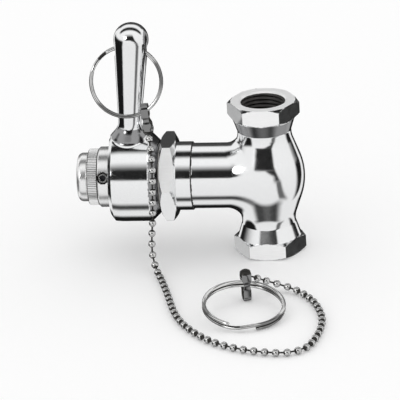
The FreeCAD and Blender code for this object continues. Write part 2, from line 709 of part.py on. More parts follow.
def make_adjuster():
    disc = turned("follower_blank", ring_outline(
        "adjust_screw + run", "sleeve_bore - run", "follower_start", "follower_start + follower_thick"))
    key = document.addObject("Part::Box", "follower_key")
    bind(key, Length="follower_thick", Width="key_wide", Height="2 * key_reach")
    place(key, x="-follower_start - follower_thick", y="-key_wide / 2", z="-port_reach - key_reach")
    hole = rod("follower_hole", "adjust_screw + run", "follower_start - 1", "follower_start + follower_thick + 1")
    keep("spring_seat", cut("spring_seat", fused("follower_keyed", disc, key), hole))
    flange = "bush_start - side_gap"
    blank = turned("adjuster_screw_blank", [
        ("-adjust_start", "0"),
        ("-adjust_start", "adjust_screw"),
        (f"adjust_flange_thick - ({flange})", "adjust_screw"),
        (f"adjust_flange_thick - ({flange})", "adjust_flange"),
        (f"-({flange})", "adjust_flange"),
        (f"-({flange})", "adjust_screw"),
        ("-sleeve_end - side_gap", "adjust_screw"),
        ("-sleeve_end - side_gap", "0"),
    ])
    square = document.addObject("Part::Box", "adjuster_square")
    bind(square, Length="adjust_square_end - sleeve_end - side_gap", Width="adjust_square", Height="adjust_square")
    place(square, x="-adjust_square_end", y="-adjust_square / 2", z="-port_reach - adjust_square / 2")
    keep("adjuster_screw", fused("adjuster_screw", blank, square))
    keep("end_bush", turned("end_bush", ring_outline(
        "adjust_screw + run", "sleeve_bore", "bush_start", "sleeve_end")))
    cap = turned("cap_blank", [
        ("cap_spigot_long - knurl_end", "0"),
        ("-cap_end", "0"),
        ("-cap_end", "cap", "cap_round"),
        ("-knurl_end", "cap"),
        ("-knurl_end", "cap_spigot"),
        ("cap_spigot_long - knurl_end", "cap_spigot"),
    ])
    socket = document.addObject("Part::Box", "cap_socket")
    bind(socket, Length="adjust_square_end - sleeve_end - side_gap", Width="adjust_square", Height="adjust_square")
    place(socket, x="-adjust_square_end", y="-adjust_square / 2", z="-port_reach - adjust_square / 2")
    keep("end_cap", cut("end_cap", cap, socket))


def make_knurled_ring():
    """Fine grooves round a ring that screws on the end of the sleeve."""
    blank = turned("knurl_blank", [
        ("-knurl_start", "sleeve + run"),
        ("cap_spigot_long - knurl_end", "sleeve + run"),
        ("cap_spigot_long - knurl_end", "cap_spigot"),
        ("-knurl_end", "cap_spigot"),
        ("-knurl_end", "knurl - knurl_deep"),
        ("knurl_deep - knurl_end", "knurl"),
        ("-knurl_start - knurl_deep", "knurl"),
        ("-knurl_start", "knurl - knurl_deep"),
    ])
    teeth = int(size("knurl_teeth"))
    points = []
    for index in range(2 * teeth):
        radius = size("knurl") if index % 2 == 0 else size("knurl - knurl_deep")
        angle = math.pi * index / teeth
        points.append(Vector(0, radius * math.cos(angle), radius * math.sin(angle)))
    face = Part.Face(Part.makePolygon(points + points[:1]))
    form = worked_out("knurl_form", face.extrude(Vector(-size("knurl_end - knurl_start"), 0, 0)))
    place(form, x="-knurl_start", z="-port_reach")
    keep("knurled_ring", common("knurled_ring", blank, form))


def make_collar():
    blank = turned("collar_blank", [
        ("-collar_start", "sleeve"),
        ("-collar_end", "sleeve"),
        ("-collar_end", "collar - collar_chamfer"),
        ("collar_chamfer - collar_end", "collar"),
        ("-collar_start - collar_chamfer", "collar"),
        ("-collar_start", "collar - collar_chamfer"),
    ])
    middle = "(collar_start + collar_end) / 2"
    outwards = Rotation(Vector(1, 0, 0), 90 - size("set_screw_angle"))
    hole = bind(document.addObject("Part::Cylinder", "set_screw_hole"), Radius="set_screw", Height="2 * collar")
    place(hole, x=f"-{middle}", z="-port_reach", turn=outwards)
    keep("retaining_collar", cut("retaining_collar", blank, hole))
    start = Vector(0, 0, size("sleeve + run"))
    long = size("collar - sleeve - run - set_screw_sink")
    screw = Part.makeCylinder(size("set_screw"), long, start)
    across = size("set_screw_key") / math.sqrt(3)
    corners = [Vector(across * math.cos(k * math.pi / 3), across * math.sin(k * math.pi / 3), 0) for k in range(7)]
    socket = Part.Face(Part.makePolygon(corners)).extrude(Vector(0, 0, long))
    socket.translate(start + Vector(0, 0, long * 0.35))
    grub = worked_out("collar_set_screw", screw.cut(socket))
    keep("collar_set_screw", place(grub, x=f"-{middle}", z="-port_reach", turn=outwards))


# Rings, clasps and chain

def split_ring(radius):
    """Two close turns of round wire, rising from its first end."""
    wire = size("wire")
    pitch = size("2 * wire + turn_gap")
    helix = Part.makeHelix(pitch, pitch * size("ring_turns"), radius)
    ring = Part.Wire(Part.makeCircle(wire, Vector(radius, 0, 0), Vector(0, 1, 0)))
    return Part.Wire(helix.Edges).makePipeShell([ring], True, True)


def on_split_ring(radius, angle):
    """The middle of a split ring's wire, at an angle from its first end."""
    turn = math.radians(angle)
    rise = size("2 * wire + turn_gap") * angle / 360
    return Vector(radius * math.cos(turn), radius * math.sin(turn), rise)


def between_turns(radius, angle):
    """The middle of a split ring's two turns, at an angle from its first end."""
    return on_split_ring(radius, angle) + Vector(0, 0, size("wire + turn_gap / 2"))


def ring_place(centre, turn):
    """Places a split ring by the middle of its thickness."""
    half = size("(2 * wire + turn_gap) * ring_turns / 2")
    return Placement(centre - turn.multVec(Vector(0, 0, half)), turn)


def clasp_shape():
    """A folded strip round the split ring, closed over the chain's end bead."""
    inner = size("clasp_inner")
    outer = size("clasp_inner + clasp_strip")
    wide = size("clasp_wide")
    top = size("clasp_long")
    base = Vector(0, -wide / 2, 0)
    fold = Part.makeCylinder(outer, wide, base, Vector(0, 1, 0))
    legs = Part.makeBox(2 * outer, wide, top + outer - inner, Vector(-outer, -wide / 2, 0))
    space = Part.makeCylinder(inner, wide, base, Vector(0, 1, 0))
    space = space.fuse(Part.makeBox(2 * inner, wide, top, Vector(-inner, -wide / 2, 0)))
    mouth = size("clasp_mouth")
    space = space.fuse(Part.makeBox(2 * mouth, wide, outer, Vector(-mouth, -wide / 2, top - mouth)))
    space = space.fuse(Part.makeCylinder(size("clasp_hole"), 2 * outer, Vector(0, 0, -2 * outer)))
    strip = fold.fuse(legs).cut(space).removeSplitter()
    edges = [edge for edge in strip.Edges if abs(edge.BoundBox.ZMax - edge.BoundBox.ZMin) < 1e-6
             and edge.BoundBox.ZMax > top + outer - inner - 1e-6 and abs(abs(edge.CenterOfMass.x) - outer) < 1e-6]
    return strip.makeFillet(size("clasp_strip"), edges)


def make_lever_ring():
    tilt = math.radians(size("lever_ring_tilt"))
    down = Vector(0, -math.sin(tilt), -math.cos(tilt))
    centre = Vector(-size("lever_ring_slide"), 0, size("lever_hole_height")) + down * size("lever_ring_drop")
    lean = Rotation(Vector(0, 1, 0), size("lever_lean"))
    facing = Rotation(Vector(1, 0, 0), 90 - size("lever_ring_tilt"))
    ring = worked_out("lever_ring", split_ring(size("lever_ring")))
    ring.Placement = ring_place(lever_point(centre), lean.multiply(facing))
    keep("lever_ring", ring)
    threaded = ring.Placement.multVec(between_turns(size("lever_ring"), 360 - size("lever_clasp_angle")))
    clasp = worked_out("lever_clasp", clasp_shape())
    hanging = Rotation(Vector(0, -1, 0), Vector(1, 0, 0), Vector(-0.105, 0, 1), "ZXY")
    clasp.Placement = Placement(threaded - hanging.multVec(Vector(0, 0, size("clasp_long - clasp_grip"))), hanging)
    keep("lever_clasp", clasp)


def make_pull_ring():
    low = math.radians(size("pull_ring_low"))
    floor = size("-2 * port_reach")
    radius = size("pull_ring")
    spin = Rotation(Vector(-math.sin(low), math.cos(low), 0), size("pull_ring_tilt"))
    turn = spin.multiply(Rotation(Vector(0, 0, 1), size("pull_ring_split")))
    centre = Vector(size("pull_ring_across"), size("-pull_ring_forward"), 0)
    lying = ring_place(centre, turn)
    lowest = min(lying.multVec(on_split_ring(radius, angle)).z for angle in range(int(360 * size("ring_turns"))))
    ring = worked_out("pull_ring", split_ring(radius))
    ring.Placement = ring_place(centre + Vector(0, 0, floor + size("wire + floor_gap") - lowest), turn)
    keep("pull_ring", ring)
    angle = size("pull_clasp_angle - pull_ring_split + 360")
    threaded = ring.Placement.multVec(between_turns(radius, angle))
    clasp = worked_out("pull_clasp", clasp_shape())
    upside_down = Rotation(Vector(0, 1, 0), Vector(1, 0, 0), Vector(0, 0, -1), "ZXY")
    twist = Rotation(Vector(0, 0, 1), size("pull_clasp_twist"))
    height = floor + size("clasp_long + clasp_strip + floor_gap")
    clasp.Placement = Placement(Vector(threaded.x, threaded.y, height), twist.multiply(upside_down))
    keep("pull_clasp", clasp)


def tube(name, route, radius):
    """Straight runs joined by arcs as large as the runs allow."""
    points = [Vector(*point) for point in route]
    edges = []
    here = points[0]
    smallest = 1e9
    for before, corner, after in zip(points, points[1:], points[2:]):
        run = min(before.distanceToPoint(corner), corner.distanceToPoint(after))
        back = (before - corner).normalize()
        ahead = (after - corner).normalize()
        bend = math.pi - back.getAngle(ahead)
        arc_radius = 0.45 * run / math.tan(bend / 2)
        smallest = min(smallest, arc_radius)
        start, middle, end = round_corner(before, corner, after, arc_radius)
        edges.append(Part.LineSegment(here, start).toShape())
        edges.append(Part.Arc(start, middle, end).toShape())
        here = end
        print(f"{name}: arc of {arc_radius:.1f} mm, turn {math.degrees(bend):.0f} degrees, run {run:.1f} mm")
    edges.append(Part.LineSegment(here, points[-1]).toShape())
    path = Part.Wire(edges)
    section = Part.Wire(Part.makeCircle(radius, points[0], (points[1] - points[0])))
    solid = path.makePipeShell([section], True, False)
    expected = math.pi * radius ** 2 * path.Length
    print(f"{name}: {path.Length:.1f} mm long, smallest arc {smallest:.1f} mm, "
          f"volume {solid.Volume / expected:.4f} of section times length")
    return solid


def make_chain():
    keep("chain_top", worked_out("chain_top", tube("chain_top", UPPER_ROUTE, size("bead"))))
    keep("chain_run", worked_out("chain_run", tube("chain_run", LOWER_ROUTE, size("bead"))))


def write_pieces():
    """Checks every object and piece, and writes one file for each piece."""
    document.recompute()
    for item in document.Objects:
        if "Invalid" in item.State or "Error" in item.State:
            raise RuntimeError(f"{item.Name} failed: {item.State}")
    for label, item in pieces.items():
        shape = item.Shape
        if shape.isNull() or not shape.isValid() or not shape.Solids:
            raise RuntimeError(f"{label} has no sound solid")
    os.makedirs("parts", exist_ok=True)
    for label, item in pieces.items():
        item.Shape.exportStep(f"parts/{label}.step")
        print(f"{label}: {len(item.Shape.Solids)} solid, {item.Shape.Volume:.1f} mm3")


make_valve_body()
make_seat_ring()
make_bonnet()
make_barrel()
make_stem()
make_spring()
make_adjuster()
make_knurled_ring()
make_collar()
make_lever_ring()
make_pull_ring()
make_chain()
write_pieces()
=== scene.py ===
import json
import math
import bpy
import numpy as np
from mathutils import Matrix, Vector


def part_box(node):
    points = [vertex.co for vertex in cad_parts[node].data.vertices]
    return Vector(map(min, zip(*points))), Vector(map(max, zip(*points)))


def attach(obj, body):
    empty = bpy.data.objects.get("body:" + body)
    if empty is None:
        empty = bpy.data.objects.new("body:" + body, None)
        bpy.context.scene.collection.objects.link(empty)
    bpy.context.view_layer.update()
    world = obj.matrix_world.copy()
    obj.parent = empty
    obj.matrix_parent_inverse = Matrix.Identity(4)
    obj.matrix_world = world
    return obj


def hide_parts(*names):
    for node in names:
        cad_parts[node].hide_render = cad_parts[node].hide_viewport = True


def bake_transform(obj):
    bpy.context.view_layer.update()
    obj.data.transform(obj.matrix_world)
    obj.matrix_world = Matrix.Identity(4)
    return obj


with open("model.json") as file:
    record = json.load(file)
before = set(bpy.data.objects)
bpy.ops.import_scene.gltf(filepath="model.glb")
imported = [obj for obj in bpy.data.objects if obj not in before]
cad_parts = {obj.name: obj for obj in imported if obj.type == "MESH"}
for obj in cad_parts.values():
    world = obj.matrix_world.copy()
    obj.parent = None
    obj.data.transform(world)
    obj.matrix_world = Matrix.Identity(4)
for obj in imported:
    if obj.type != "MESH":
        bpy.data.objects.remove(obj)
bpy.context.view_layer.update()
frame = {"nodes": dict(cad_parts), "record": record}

# Self-closing shower valve. Shapes are worked out in millimetres and made in metres.
MM = 0.001


def box(node):
    """Lowest and highest corner of a node, in millimetres."""
    return [np.array(corner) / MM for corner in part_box(node)]


def span(node, axis):
    """Lowest and highest place of a node along one axis, in millimetres."""
    low, high = box(node)
    return float(low[axis]), float(high[axis])


# Places read from the frame. "Out" is the distance left of the ports' axis. All lengths down to
# the routes are in millimetres. Round forms are given by their radius, flats by their width.
PORT_REACH = -span("valve_body", 2)[0] / 2
FLOOR = 2 * -PORT_REACH
NUT_OUT, SEAM = -span("bonnet_nut", 0)[0], -span("bonnet_nut", 0)[1]
NUT_FLATS = span("bonnet_nut", 2)[1] * 2 + 2 * PORT_REACH
SPIGOT_OUT = -span("valve_body", 0)[0]
COLLAR_OUT, COLLAR_IN = -span("retaining_collar", 0)[0], -span("retaining_collar", 0)[1]
KNURL_OUT, KNURL_IN = -span("knurled_ring", 0)[0], -span("knurled_ring", 0)[1]
KNURL = span("knurled_ring", 1)[1]
CAP_OUT = -span("end_cap", 0)[0]
CAP = span("end_cap", 1)[1]
HUB = span("lever_barrel", 1)[1]
HUB_IN = -span("lever_barrel", 0)[1]

# Body
PORT_FLATS = 28.0
PORT_CORNER = PORT_FLATS / math.sqrt(3)
PORT_HEX = 7.5
CORNER_CHAMFER = 0.9
UNDER_CHAMFER = 1.15
UNDER_SLOPE = 2.0
TOP_CHAMFER = 1.45
TOP_CUT = 1.8
NECK = 12.0
NECK_TAPER = 6.3
NECK_CORNER = 2.0
BELLY_CORNER = 18.8
BELLY_TAPER = 19.0
BELLY_ROUND = 28.0
NECK_BLEND = 12.0
BRANCH = 14.6
# The fillet of belly and branch, where they meet square and where they run the same way
ELBOW = 5.5
SADDLE = 2.4
SPIGOT = 12.9
PORT_BORE = 9.9
PORT_DEPTH = 14.0
PORT_MOUTH = 0.75
WAY = 8.4
BOWL = 13.4
CHAMBER = 10.8
SEPTUM = 2.0
SEAT_HOLE = 8.0
THREAD_PITCH = 1.81
THREAD_DEPTH = 0.75
THREAD_FADE = 1.2
# Nut and barrel
SLEEVE = 10.06
SKIRT = 15.3
NUT_FACE = 17.6
NUT_NECK = 17.0
NUT_HEX = 6.7
NUT_FILLET = 0.5
EDGE_CHAMFER = 0.45
SLIDE_FIT = 0.06
HUB_FACE = 16.2
HUB_SHOULDER = 51.3
HUB_OUT = 69.3
HUB_CHAMFER = 1.6
HUB_CHAMFER_DEEP = 2.0
HUB_CROWN = 5.5
HUB_CROWN_DEEP = 0.5
PIN_GROOVE = 12.1
PIN_GROOVE_END = 0.7
PIN = 1.56
# Lever
LEVER_MIDDLE = 60.3
LEAN = math.radians(4.2)
LEVER_FOOT = 4.95
LEVER_FLARE = 8.6
FLARE_START = 19.3
FLARE_END = 24.17
FLARE_ROUND = 7.0
# Where the painted shade on the lever's foot ends
FLARE_SHADE = 24.3
LEVER_START = 14.0
LEVER_FILLET = 1.2
LEVER_HEAD = 7.75
LEVER_CROWN = 7.4
HEAD_HEIGHT = 65.3
HOLE = 2.9
HOLE_HEIGHT = 60.6
HOLE_MOUTH = 1.0
HOLE_MOUTH_SLOPE = 0.8
# Collar, its screw, cap and knurled ring
COLLAR = 13.5
SCREW = 2.2
SCREW_RISE = math.radians(19)
SCREW_SUNK = 0.3
SCREW_ROUND = 0.35
SCREW_GAP = 0.28
SOCKET_FLATS = 2.3
SOCKET_FLOOR = 1.2
CAP_ROUND = 2.2
CAP_CROWN = 0.25
CAP_GROOVE = 0.3
TEETH = 90
TOOTH_DEEP = 0.32
# Depth of the knurl at even steps from one tooth to the next, as shares of TOOTH_DEEP
TOOTH_SHAPE = (0.0, 0.0, 0.55, 1.0, 1.0, 0.55)
KNURL_EDGE = 0.35
# Spring
COIL_WIRE = 0.65
COIL_TURNS = 5
# Rings, clasps and chain
WIRE = 0.8
TURN_GAP = 0.04
UPPER_RING = 15.6
FINGER_RING = 17.4
BEAD = 1.65
BEAD_PITCH = 4.9
LINK = 0.38
STRIP = 0.55
CLASP_WIDE = 4.2
CLASP_INNER = 2.05
CLASP_LONG = 11.2
CLASP_WAIST = 4.3
WAIST_LONG = 1.5
WAIST_DEEP = 0.6
WAIST_NARROW = 0.75
TIP_NARROW = 0.45
CLASP_PLAY = 0.12
CLASP_MOUTH = 0.45
CLASP_HOLE = 0.75
CUP_END = 1.1
CUP_FILLET = 0.4
UPPER_BEAD = (-51.0, -7.13, -9.95)
LOWER_BEAD = (-7.64, -57.57, -59.7)
FIRST_BEAD = 1.9
# Steps of the grids that the pieces are grown on
BODY_GRID, BARREL_GRID, NUT_GRID = 0.5, 0.45, 0.3
COLLAR_GRID, CLASP_GRID, SCREW_GRID = 0.25, 0.18, 0.14

# The chain's route in metres: from the upper clasp to the barrel's front, and from there to the
# pull ring's clasp. LAID is the height of beads that lie on the floor.
LAID = -0.06985
UPPER_ROUTE = [
    (-0.0508, -0.00846, -0.01246),
    (-0.0501, -0.0102, -0.0157),
    (-0.0491, -0.016, -0.0213),
    (-0.0488, -0.0197, -0.0282),
    (-0.049, -0.021, -0.0358),
    (-0.0494, -0.0211, -0.0433),
]
LOWER_ROUTE = [
    (-0.0494, -0.0211, -0.0433),
    (-0.04979, -0.0212, -0.0506),
    (-0.0506, -0.02125, -0.057),
    (-0.0506, -0.0231, -0.064),
    (-0.0486, -0.0282, -0.0689),
    (-0.0456, -0.0362, LAID),
    (-0.0426, -0.047, LAID),
    (-0.0396, -0.0586, LAID),
    (-0.0369, -0.0702, LAID),
    (-0.033, -0.082, LAID),
    (-0.0266, -0.0932, LAID),
    (-0.0174, -0.1044, LAID),
    (-0.0056, -0.1122, LAID),
    (0.0072, -0.1164, LAID),
    (0.0176, -0.1174, LAID),
    (0.0252, -0.1122, LAID),
    (0.0278, -0.1034, LAID),
    (0.0296, -0.0928, LAID),
    (0.0296, -0.0806, LAID),
    (0.0264, -0.0684, LAID),
    (0.023, -0.0606, LAID),
    (0.0186, -0.054, LAID),
    (0.0133, -0.0496, -0.0692),
    (0.0065, -0.0484, -0.0675),
    (0.0, -0.0506, -0.0645),
    (-0.0032, -0.0541, -0.0616),
]


# Camera, floor and light

def make_camera():
    """The photograph's view: far off, a little to the right of straight on, and rolled."""
    right = Vector((0.99374931, 0.09749386, -0.0543806))
    up = Vector((0.0126157, 0.38593246, 0.92244078))
    back = Vector((0.11091956, -0.91736094, 0.38229016))
    aim = Vector((-0.0301, -0.0037, -0.0461))
    distance = 2.2
    data = bpy.data.cameras.new("photo_camera")
    data.angle = math.radians(4.6436)
    data.clip_start = 0.1
    data.clip_end = 20
    camera = bpy.data.objects.new("photo_camera", data)
    bpy.context.scene.collection.objects.link(camera)
    turn = Matrix((right, up, back)).transposed().to_4x4()
    camera.matrix_world = Matrix.Translation(aim + back * distance) @ turn
    bpy.context.scene.camera = camera


class Nodes:
    """Short ways to add shader nodes to one tree."""

    def __init__(self, tree):
        self.tree = tree
        tree.nodes.clear()

    def add(self, kind, **inputs):
        node = self.tree.nodes.new("ShaderNode" + kind)
        for name, value in inputs.items():
            self.plug(node.inputs[name.replace("_", " ")], value)
        return node

    def plug(self, socket, value):
        if isinstance(value, bpy.types.NodeSocket):
            self.tree.links.new(value, socket)
        else:
            socket.default_value = value

    def maths(self, kind, *values):
        node = self.tree.nodes.new("ShaderNodeMath")
        node.operation = kind
        for socket, value in zip(node.inputs, values):
            self.plug(socket, value)
        return node.outputs[0]

    def step(self, value, start, end):
        """Rises smoothly from 0 at start to 1 at end."""
        node = self.add("MapRange", Value=value, From_Min=start, From_Max=end)
        node.interpolation_type = "SMOOTHSTEP"
        return node.outputs[0]

    def remap(self, value, low, high, first, last):
        """Goes evenly from first to last while the value goes from low to high."""
        return self.add("MapRange", Value=value, From_Min=low, From_Max=high,
                        To_Min=first, To_Max=last).outputs[0]

    def band(self, value, low, high, soft):
        """1 between low and high, with soft edges."""
        rise = self.step(value, low - soft, low + soft)
        fall = self.step(value, high - soft, high + soft)
        return self.maths("MULTIPLY", rise, self.maths("SUBTRACT", 1.0, fall))

    def fold(self, kind, values):
        """Puts all the values together by one kind of maths node."""
        result = values[0]
        for value in values[1:]:
            result = self.maths(kind, result, value)
        return result

    def both(self, *values):
        return self.fold("MULTIPLY", values)

    def most(self, *values):
        return self.fold("MAXIMUM", values)

    def mixed(self, share, first, second):
        """The output of a mix of two shaders."""
        mix = self.add("MixShader", Fac=share)
        self.plug(mix.inputs[1], first)
        self.plug(mix.inputs[2], second)
        return mix.outputs[0]


def make_world():
    """Plain white light, with a studio of white walls and black cards for the metal to mirror."""
    world = bpy.data.worlds.new("studio")
    bpy.context.scene.world = world
    world.use_nodes = True
    nodes = Nodes(world.node_tree)
    place = nodes.add("TexCoord").outputs["Generated"]
    x, y, z = nodes.add("SeparateXYZ", Vector=place).outputs
    forward = nodes.maths("MULTIPLY", y, -1.0)
    # Degrees up from straight ahead, seen from the side
    rise = nodes.maths("DEGREES", nodes.maths("ARCTAN2", z, forward))
    low = nodes.step(z, 0.16, -0.06)
    front = nodes.step(forward, 0.0, 0.2)
    behind = nodes.step(forward, -0.15, -0.40)
    # The long strip in front, with a slanting end and a wedge at its right
    strip = nodes.both(nodes.step(rise, 9.0, 14.0), nodes.step(rise, 62.0, 34.0))
    right = nodes.maths("MULTIPLY_ADD", z, 0.45, nodes.maths("SUBTRACT", x, 0.62))
    upper_z = nodes.maths("MAXIMUM", z, 0.0)
    left = nodes.maths("MULTIPLY_ADD", upper_z, 2.2, nodes.maths("SUBTRACT", x, 0.45))
    wedge = nodes.both(nodes.step(left, -0.12, 0.12), nodes.band(z, -0.20, 0.25, 0.10))
    strip = nodes.both(strip, nodes.step(x, -0.62, -0.45))
    cards = [
        # The strip, for the dark bands of branch, barrel and lever
        nodes.both(nodes.most(strip, wedge), nodes.step(right, 0.05, -0.05), front),
        # Overhead, and behind below
        nodes.both(nodes.band(rise, 86.0, 113.0, 8.0), nodes.band(x, -0.85, 0.88, 0.08)),
        nodes.both(nodes.step(rise, -96.0, -112.0), nodes.band(x, -0.50, 0.45, 0.06)),
        # The back wall
        nodes.both(nodes.step(rise, 138.0, 152.0), nodes.band(x, -0.60, 0.60, 0.06), 0.95),
        # Low on the right in front, for the belly
        nodes.both(nodes.band(x, 0.52, 0.72, 0.05), nodes.band(z, -0.70, -0.16, 0.06), front, 0.85),
        # The far left and, behind, the far right
        nodes.both(nodes.step(x, -0.70, -0.80), low),
        nodes.both(nodes.band(x, 0.68, 0.96, 0.03), low, behind),
        # Below in front
        nodes.both(nodes.band(rise, -75.0, -57.0, 7.0), nodes.band(x, -0.60, 0.50, 0.20), 0.95),
    ]
    white = nodes.maths("SUBTRACT", 1.0, nodes.most(*cards))
    level = nodes.maths("MULTIPLY", nodes.remap(z, -1.0, 1.0, 0.86, 1.0), white)
    towards = nodes.tree.nodes.new("ShaderNodeVectorMath")
    towards.operation = "DOT_PRODUCT"
    nodes.plug(towards.inputs[0], place)
    towards.inputs[1].default_value = Vector((-0.52, -0.72, 0.46)).normalized()
    lamp = nodes.both(nodes.step(towards.outputs["Value"], 0.980, 0.992), 4.0)
    level = nodes.maths("ADD", nodes.maths("ADD", level, 0.010), lamp)
    glossy = nodes.add("LightPath").outputs["Is Glossy Ray"]
    mirrored = nodes.add("Background", Color=(1, 1, 1, 1), Strength=level)
    plain = nodes.add("Background", Color=(1, 1, 1, 1), Strength=1.0)
    nodes.add("OutputWorld", Surface=nodes.mixed(glossy, plain.outputs[0], mirrored.outputs[0]))


def make_floor():
    """A wide pale floor, which the metal doesn't mirror."""
    half = 4.0
    height = FLOOR * MM - 0.0001
    corners = [(x * half, y * half, height) for x, y in ((-1, -1), (1, -1), (1, 1), (-1, 1))]
    mesh = bpy.data.meshes.new("floor")
    mesh.from_pydata(corners, [], [(0, 1, 2, 3)])
    floor = bpy.data.objects.new("floor", mesh)
    bpy.context.scene.collection.objects.link(floor)
    material = bpy.data.materials.new("floor")
    material.use_nodes = True
    nodes = Nodes(material.node_tree)
    matte = nodes.add("BsdfDiffuse", Color=(0.985, 0.985, 0.985, 1))
    clear = nodes.add("BsdfTransparent")
    glossy = nodes.add("LightPath").outputs["Is Glossy Ray"]
    nodes.add("OutputMaterial", Surface=nodes.mixed(glossy, matte.outputs[0], clear.outputs[0]))
    mesh.materials.append(material)


# Materials

def metal(name, colour, roughness, spread=0.0, wobble=0.0, grain=0.0, along=(1, 1, 1), metallic=1.0,
          patches=1.0):
    """A metal whose polish varies by spread, with slow waves (wobble) and fine grain in its
    surface. The grain is drawn out by along. Patches is the darkest shade of its slow mottling."""
    material = bpy.data.materials.new(name)
    material.use_nodes = True
    nodes = Nodes(material.node_tree)
    place = nodes.add("TexCoord").outputs["Object"]
    stretched = nodes.add("Mapping", Vector=place, Scale=along).outputs[0]
    waves = nodes.add("TexNoise", Vector=place, Scale=130.0, Detail=2.0).outputs[0]
    lines = nodes.add("TexNoise", Vector=stretched, Scale=1500.0, Detail=4.0,
                      Roughness=0.7).outputs[0]
    smears = nodes.add("TexNoise", Vector=place, Scale=320.0, Detail=5.0, Roughness=0.6).outputs[0]
    slow = nodes.add("TexNoise", Vector=place, Scale=85.0, Detail=1.0).outputs[0]
    polish = nodes.remap(smears, 0.3, 0.7, roughness, roughness + spread)
    shade = nodes.both(nodes.remap(lines, 0.3, 0.7, 0.94, 1.0),
                       nodes.remap(slow, 0.42, 0.56, patches, 1.0))
    paint = nodes.add("MixRGB", Fac=1.0, Color1=(*colour, 1), Color2=shade)
    paint.blend_type = "MULTIPLY"
    bump = nodes.add("Bump", Strength=wobble, Distance=0.0006, Height=waves)
    fine = nodes.add("Bump", Strength=grain, Distance=0.00004, Height=lines, Normal=bump.outputs[0])
    shader = nodes.add("BsdfPrincipled", Base_Color=paint.outputs[0], Metallic=metallic,
                       Roughness=polish, Normal=fine.outputs[0])
    nodes.add("OutputMaterial", Surface=shader.outputs[0])
    return material


def soft_stuff(name, colour, roughness):
    """Rubber or plastic with a fine moulded grain."""
    return metal(name, colour, roughness, spread=0.1, grain=0.3, metallic=0.0)


MATERIALS = {
    "chrome_plate": metal("chrome_plate", (0.90, 0.905, 0.91), 0.08, 0.05, 0.02, 0.02),
    # Whiter satin: machined on the port ends, painted sheen on one pair of flats of each hexagon,
    # toward the front
    "machined_and_sheen_flats": metal("machined_and_sheen_flats", (0.95, 0.95, 0.95), 0.30, 0.12, 0.02, 0.3,
                            (0.12, 1, 1), metallic=0.3),
    "satin_chrome": metal("satin_chrome", (0.90, 0.90, 0.90), 0.20, 0.08, 0.0, 0.15,
                          (6, 1, 1), metallic=0.8),
    "knurled_metal": metal("knurled_metal", (0.92, 0.92, 0.92), 0.14, 0.08, 0.0, 0.1, metallic=0.6),
    # Darker chrome as painted shade on the barrel's cone, the lever's foot and the taper under the
    # upper hexagon
    "painted_shade_chrome": metal("painted_shade_chrome", (0.30, 0.30, 0.305), 0.12, 0.05, 0.02, 0.02),
    "nickel_wire": metal("nickel_wire", (0.74, 0.74, 0.735), 0.03, 0.04, 0.02, 0.05, patches=0.30),
    "nickel_beads": metal("nickel_beads", (0.62, 0.62, 0.615), 0.13, 0.05, 0.0, 0.05),
    "clasp_steel": metal("clasp_steel", (0.25, 0.25, 0.25), 0.12, 0.08, 0.0, 0.1),
    # Near-black metal as painted shade: knurl grooves and chamfers, between the ring's turns,
    # inside the clasps, and on the chain's links and bead ends
    "painted_shade_metal": metal("painted_shade_metal", (0.055, 0.053, 0.05), 0.35, 0.2, 0.0, 0.3),
    # Near-black metal as painted shade inside bores, holes, the thread and along the nut's joint
    # with the body
    "painted_shade_bore": metal("painted_shade_bore", (0.075, 0.072, 0.07), 0.38, 0.2, 0.0, 0.3),
    "cast_brass": metal("cast_brass", (0.72, 0.56, 0.30), 0.28, 0.12, 0.02, 0.2, (1, 0.2, 0.2)),
    "stainless": metal("stainless", (0.60, 0.60, 0.59), 0.22, 0.08, 0.0, 0.15),
    "black_steel": metal("black_steel", (0.07, 0.07, 0.075), 0.25, 0.1, 0.0, 0.1),
    "black_rubber": soft_stuff("black_rubber", (0.03, 0.03, 0.03), 0.6),
    "white_nylon": soft_stuff("white_nylon", (0.80, 0.79, 0.75), 0.45),
}


# Meshes

def new_piece(name, points, faces, materials, slots=None, smooth=True):
    """Makes an object from points in millimetres."""
    mesh = bpy.data.meshes.new(name)
    mesh.from_pydata((np.asarray(points) * MM).tolist(), [], [list(face) for face in faces])
    for key in materials:
        mesh.materials.append(MATERIALS[key])
    if slots is not None:
        mesh.polygons.foreach_set("material_index", np.asarray(slots, dtype=np.int32))
    mesh.polygons.foreach_set("use_smooth", [smooth] * len(mesh.polygons))
    mesh.update()
    piece = bpy.data.objects.new(name, mesh)
    bpy.context.scene.collection.objects.link(piece)
    return piece


def slope(field, points, reach=0.01):
    """The field's gradient at some points."""
    parts = []
    for axis in range(3):
        shift = np.zeros(3)
        shift[axis] = reach
        parts.append(field(*(points + shift).T) - field(*(points - shift).T))
    return np.stack(parts, axis=1) / (2 * reach)


def unit(vectors):
    """The vectors at length 1."""
    return vectors / np.maximum(np.linalg.norm(vectors, axis=1, keepdims=True), 1e-9)


def cut_at(values, axis, first, last):
    """A slice of a grid along one axis."""
    window = [slice(None)] * 3
    window[axis] = slice(first, last)
    return values[tuple(window)]


def crossings_of(field, values, start, step):
    """For each axis: the grid edges that cross the surface, where, the normals there, and
    whether the edge leaves the solid."""
    crossings = []
    for axis in range(3):
        near, far = cut_at(values, axis, 0, -1), cut_at(values, axis, 1, None)
        edges = np.argwhere((near < 0) != (far < 0))
        a, b = near[tuple(edges.T)], far[tuple(edges.T)]
        points = edges.astype(float)
        points[:, axis] += a / (a - b)
        normals = unit(slope(field, points * step + start))
        crossings.append((axis, edges, points, normals, a < 0))
    return crossings


def cells_round(edges, axis):
    """The cells that share some grid edges, as four sets in order round the edge."""
    for one, two in ((0, 0), (1, 0), (1, 1), (0, 1)):
        home = edges.copy()
        home[:, (axis + 1) % 3] -= one
        home[:, (axis + 2) % 3] -= two
        yield home


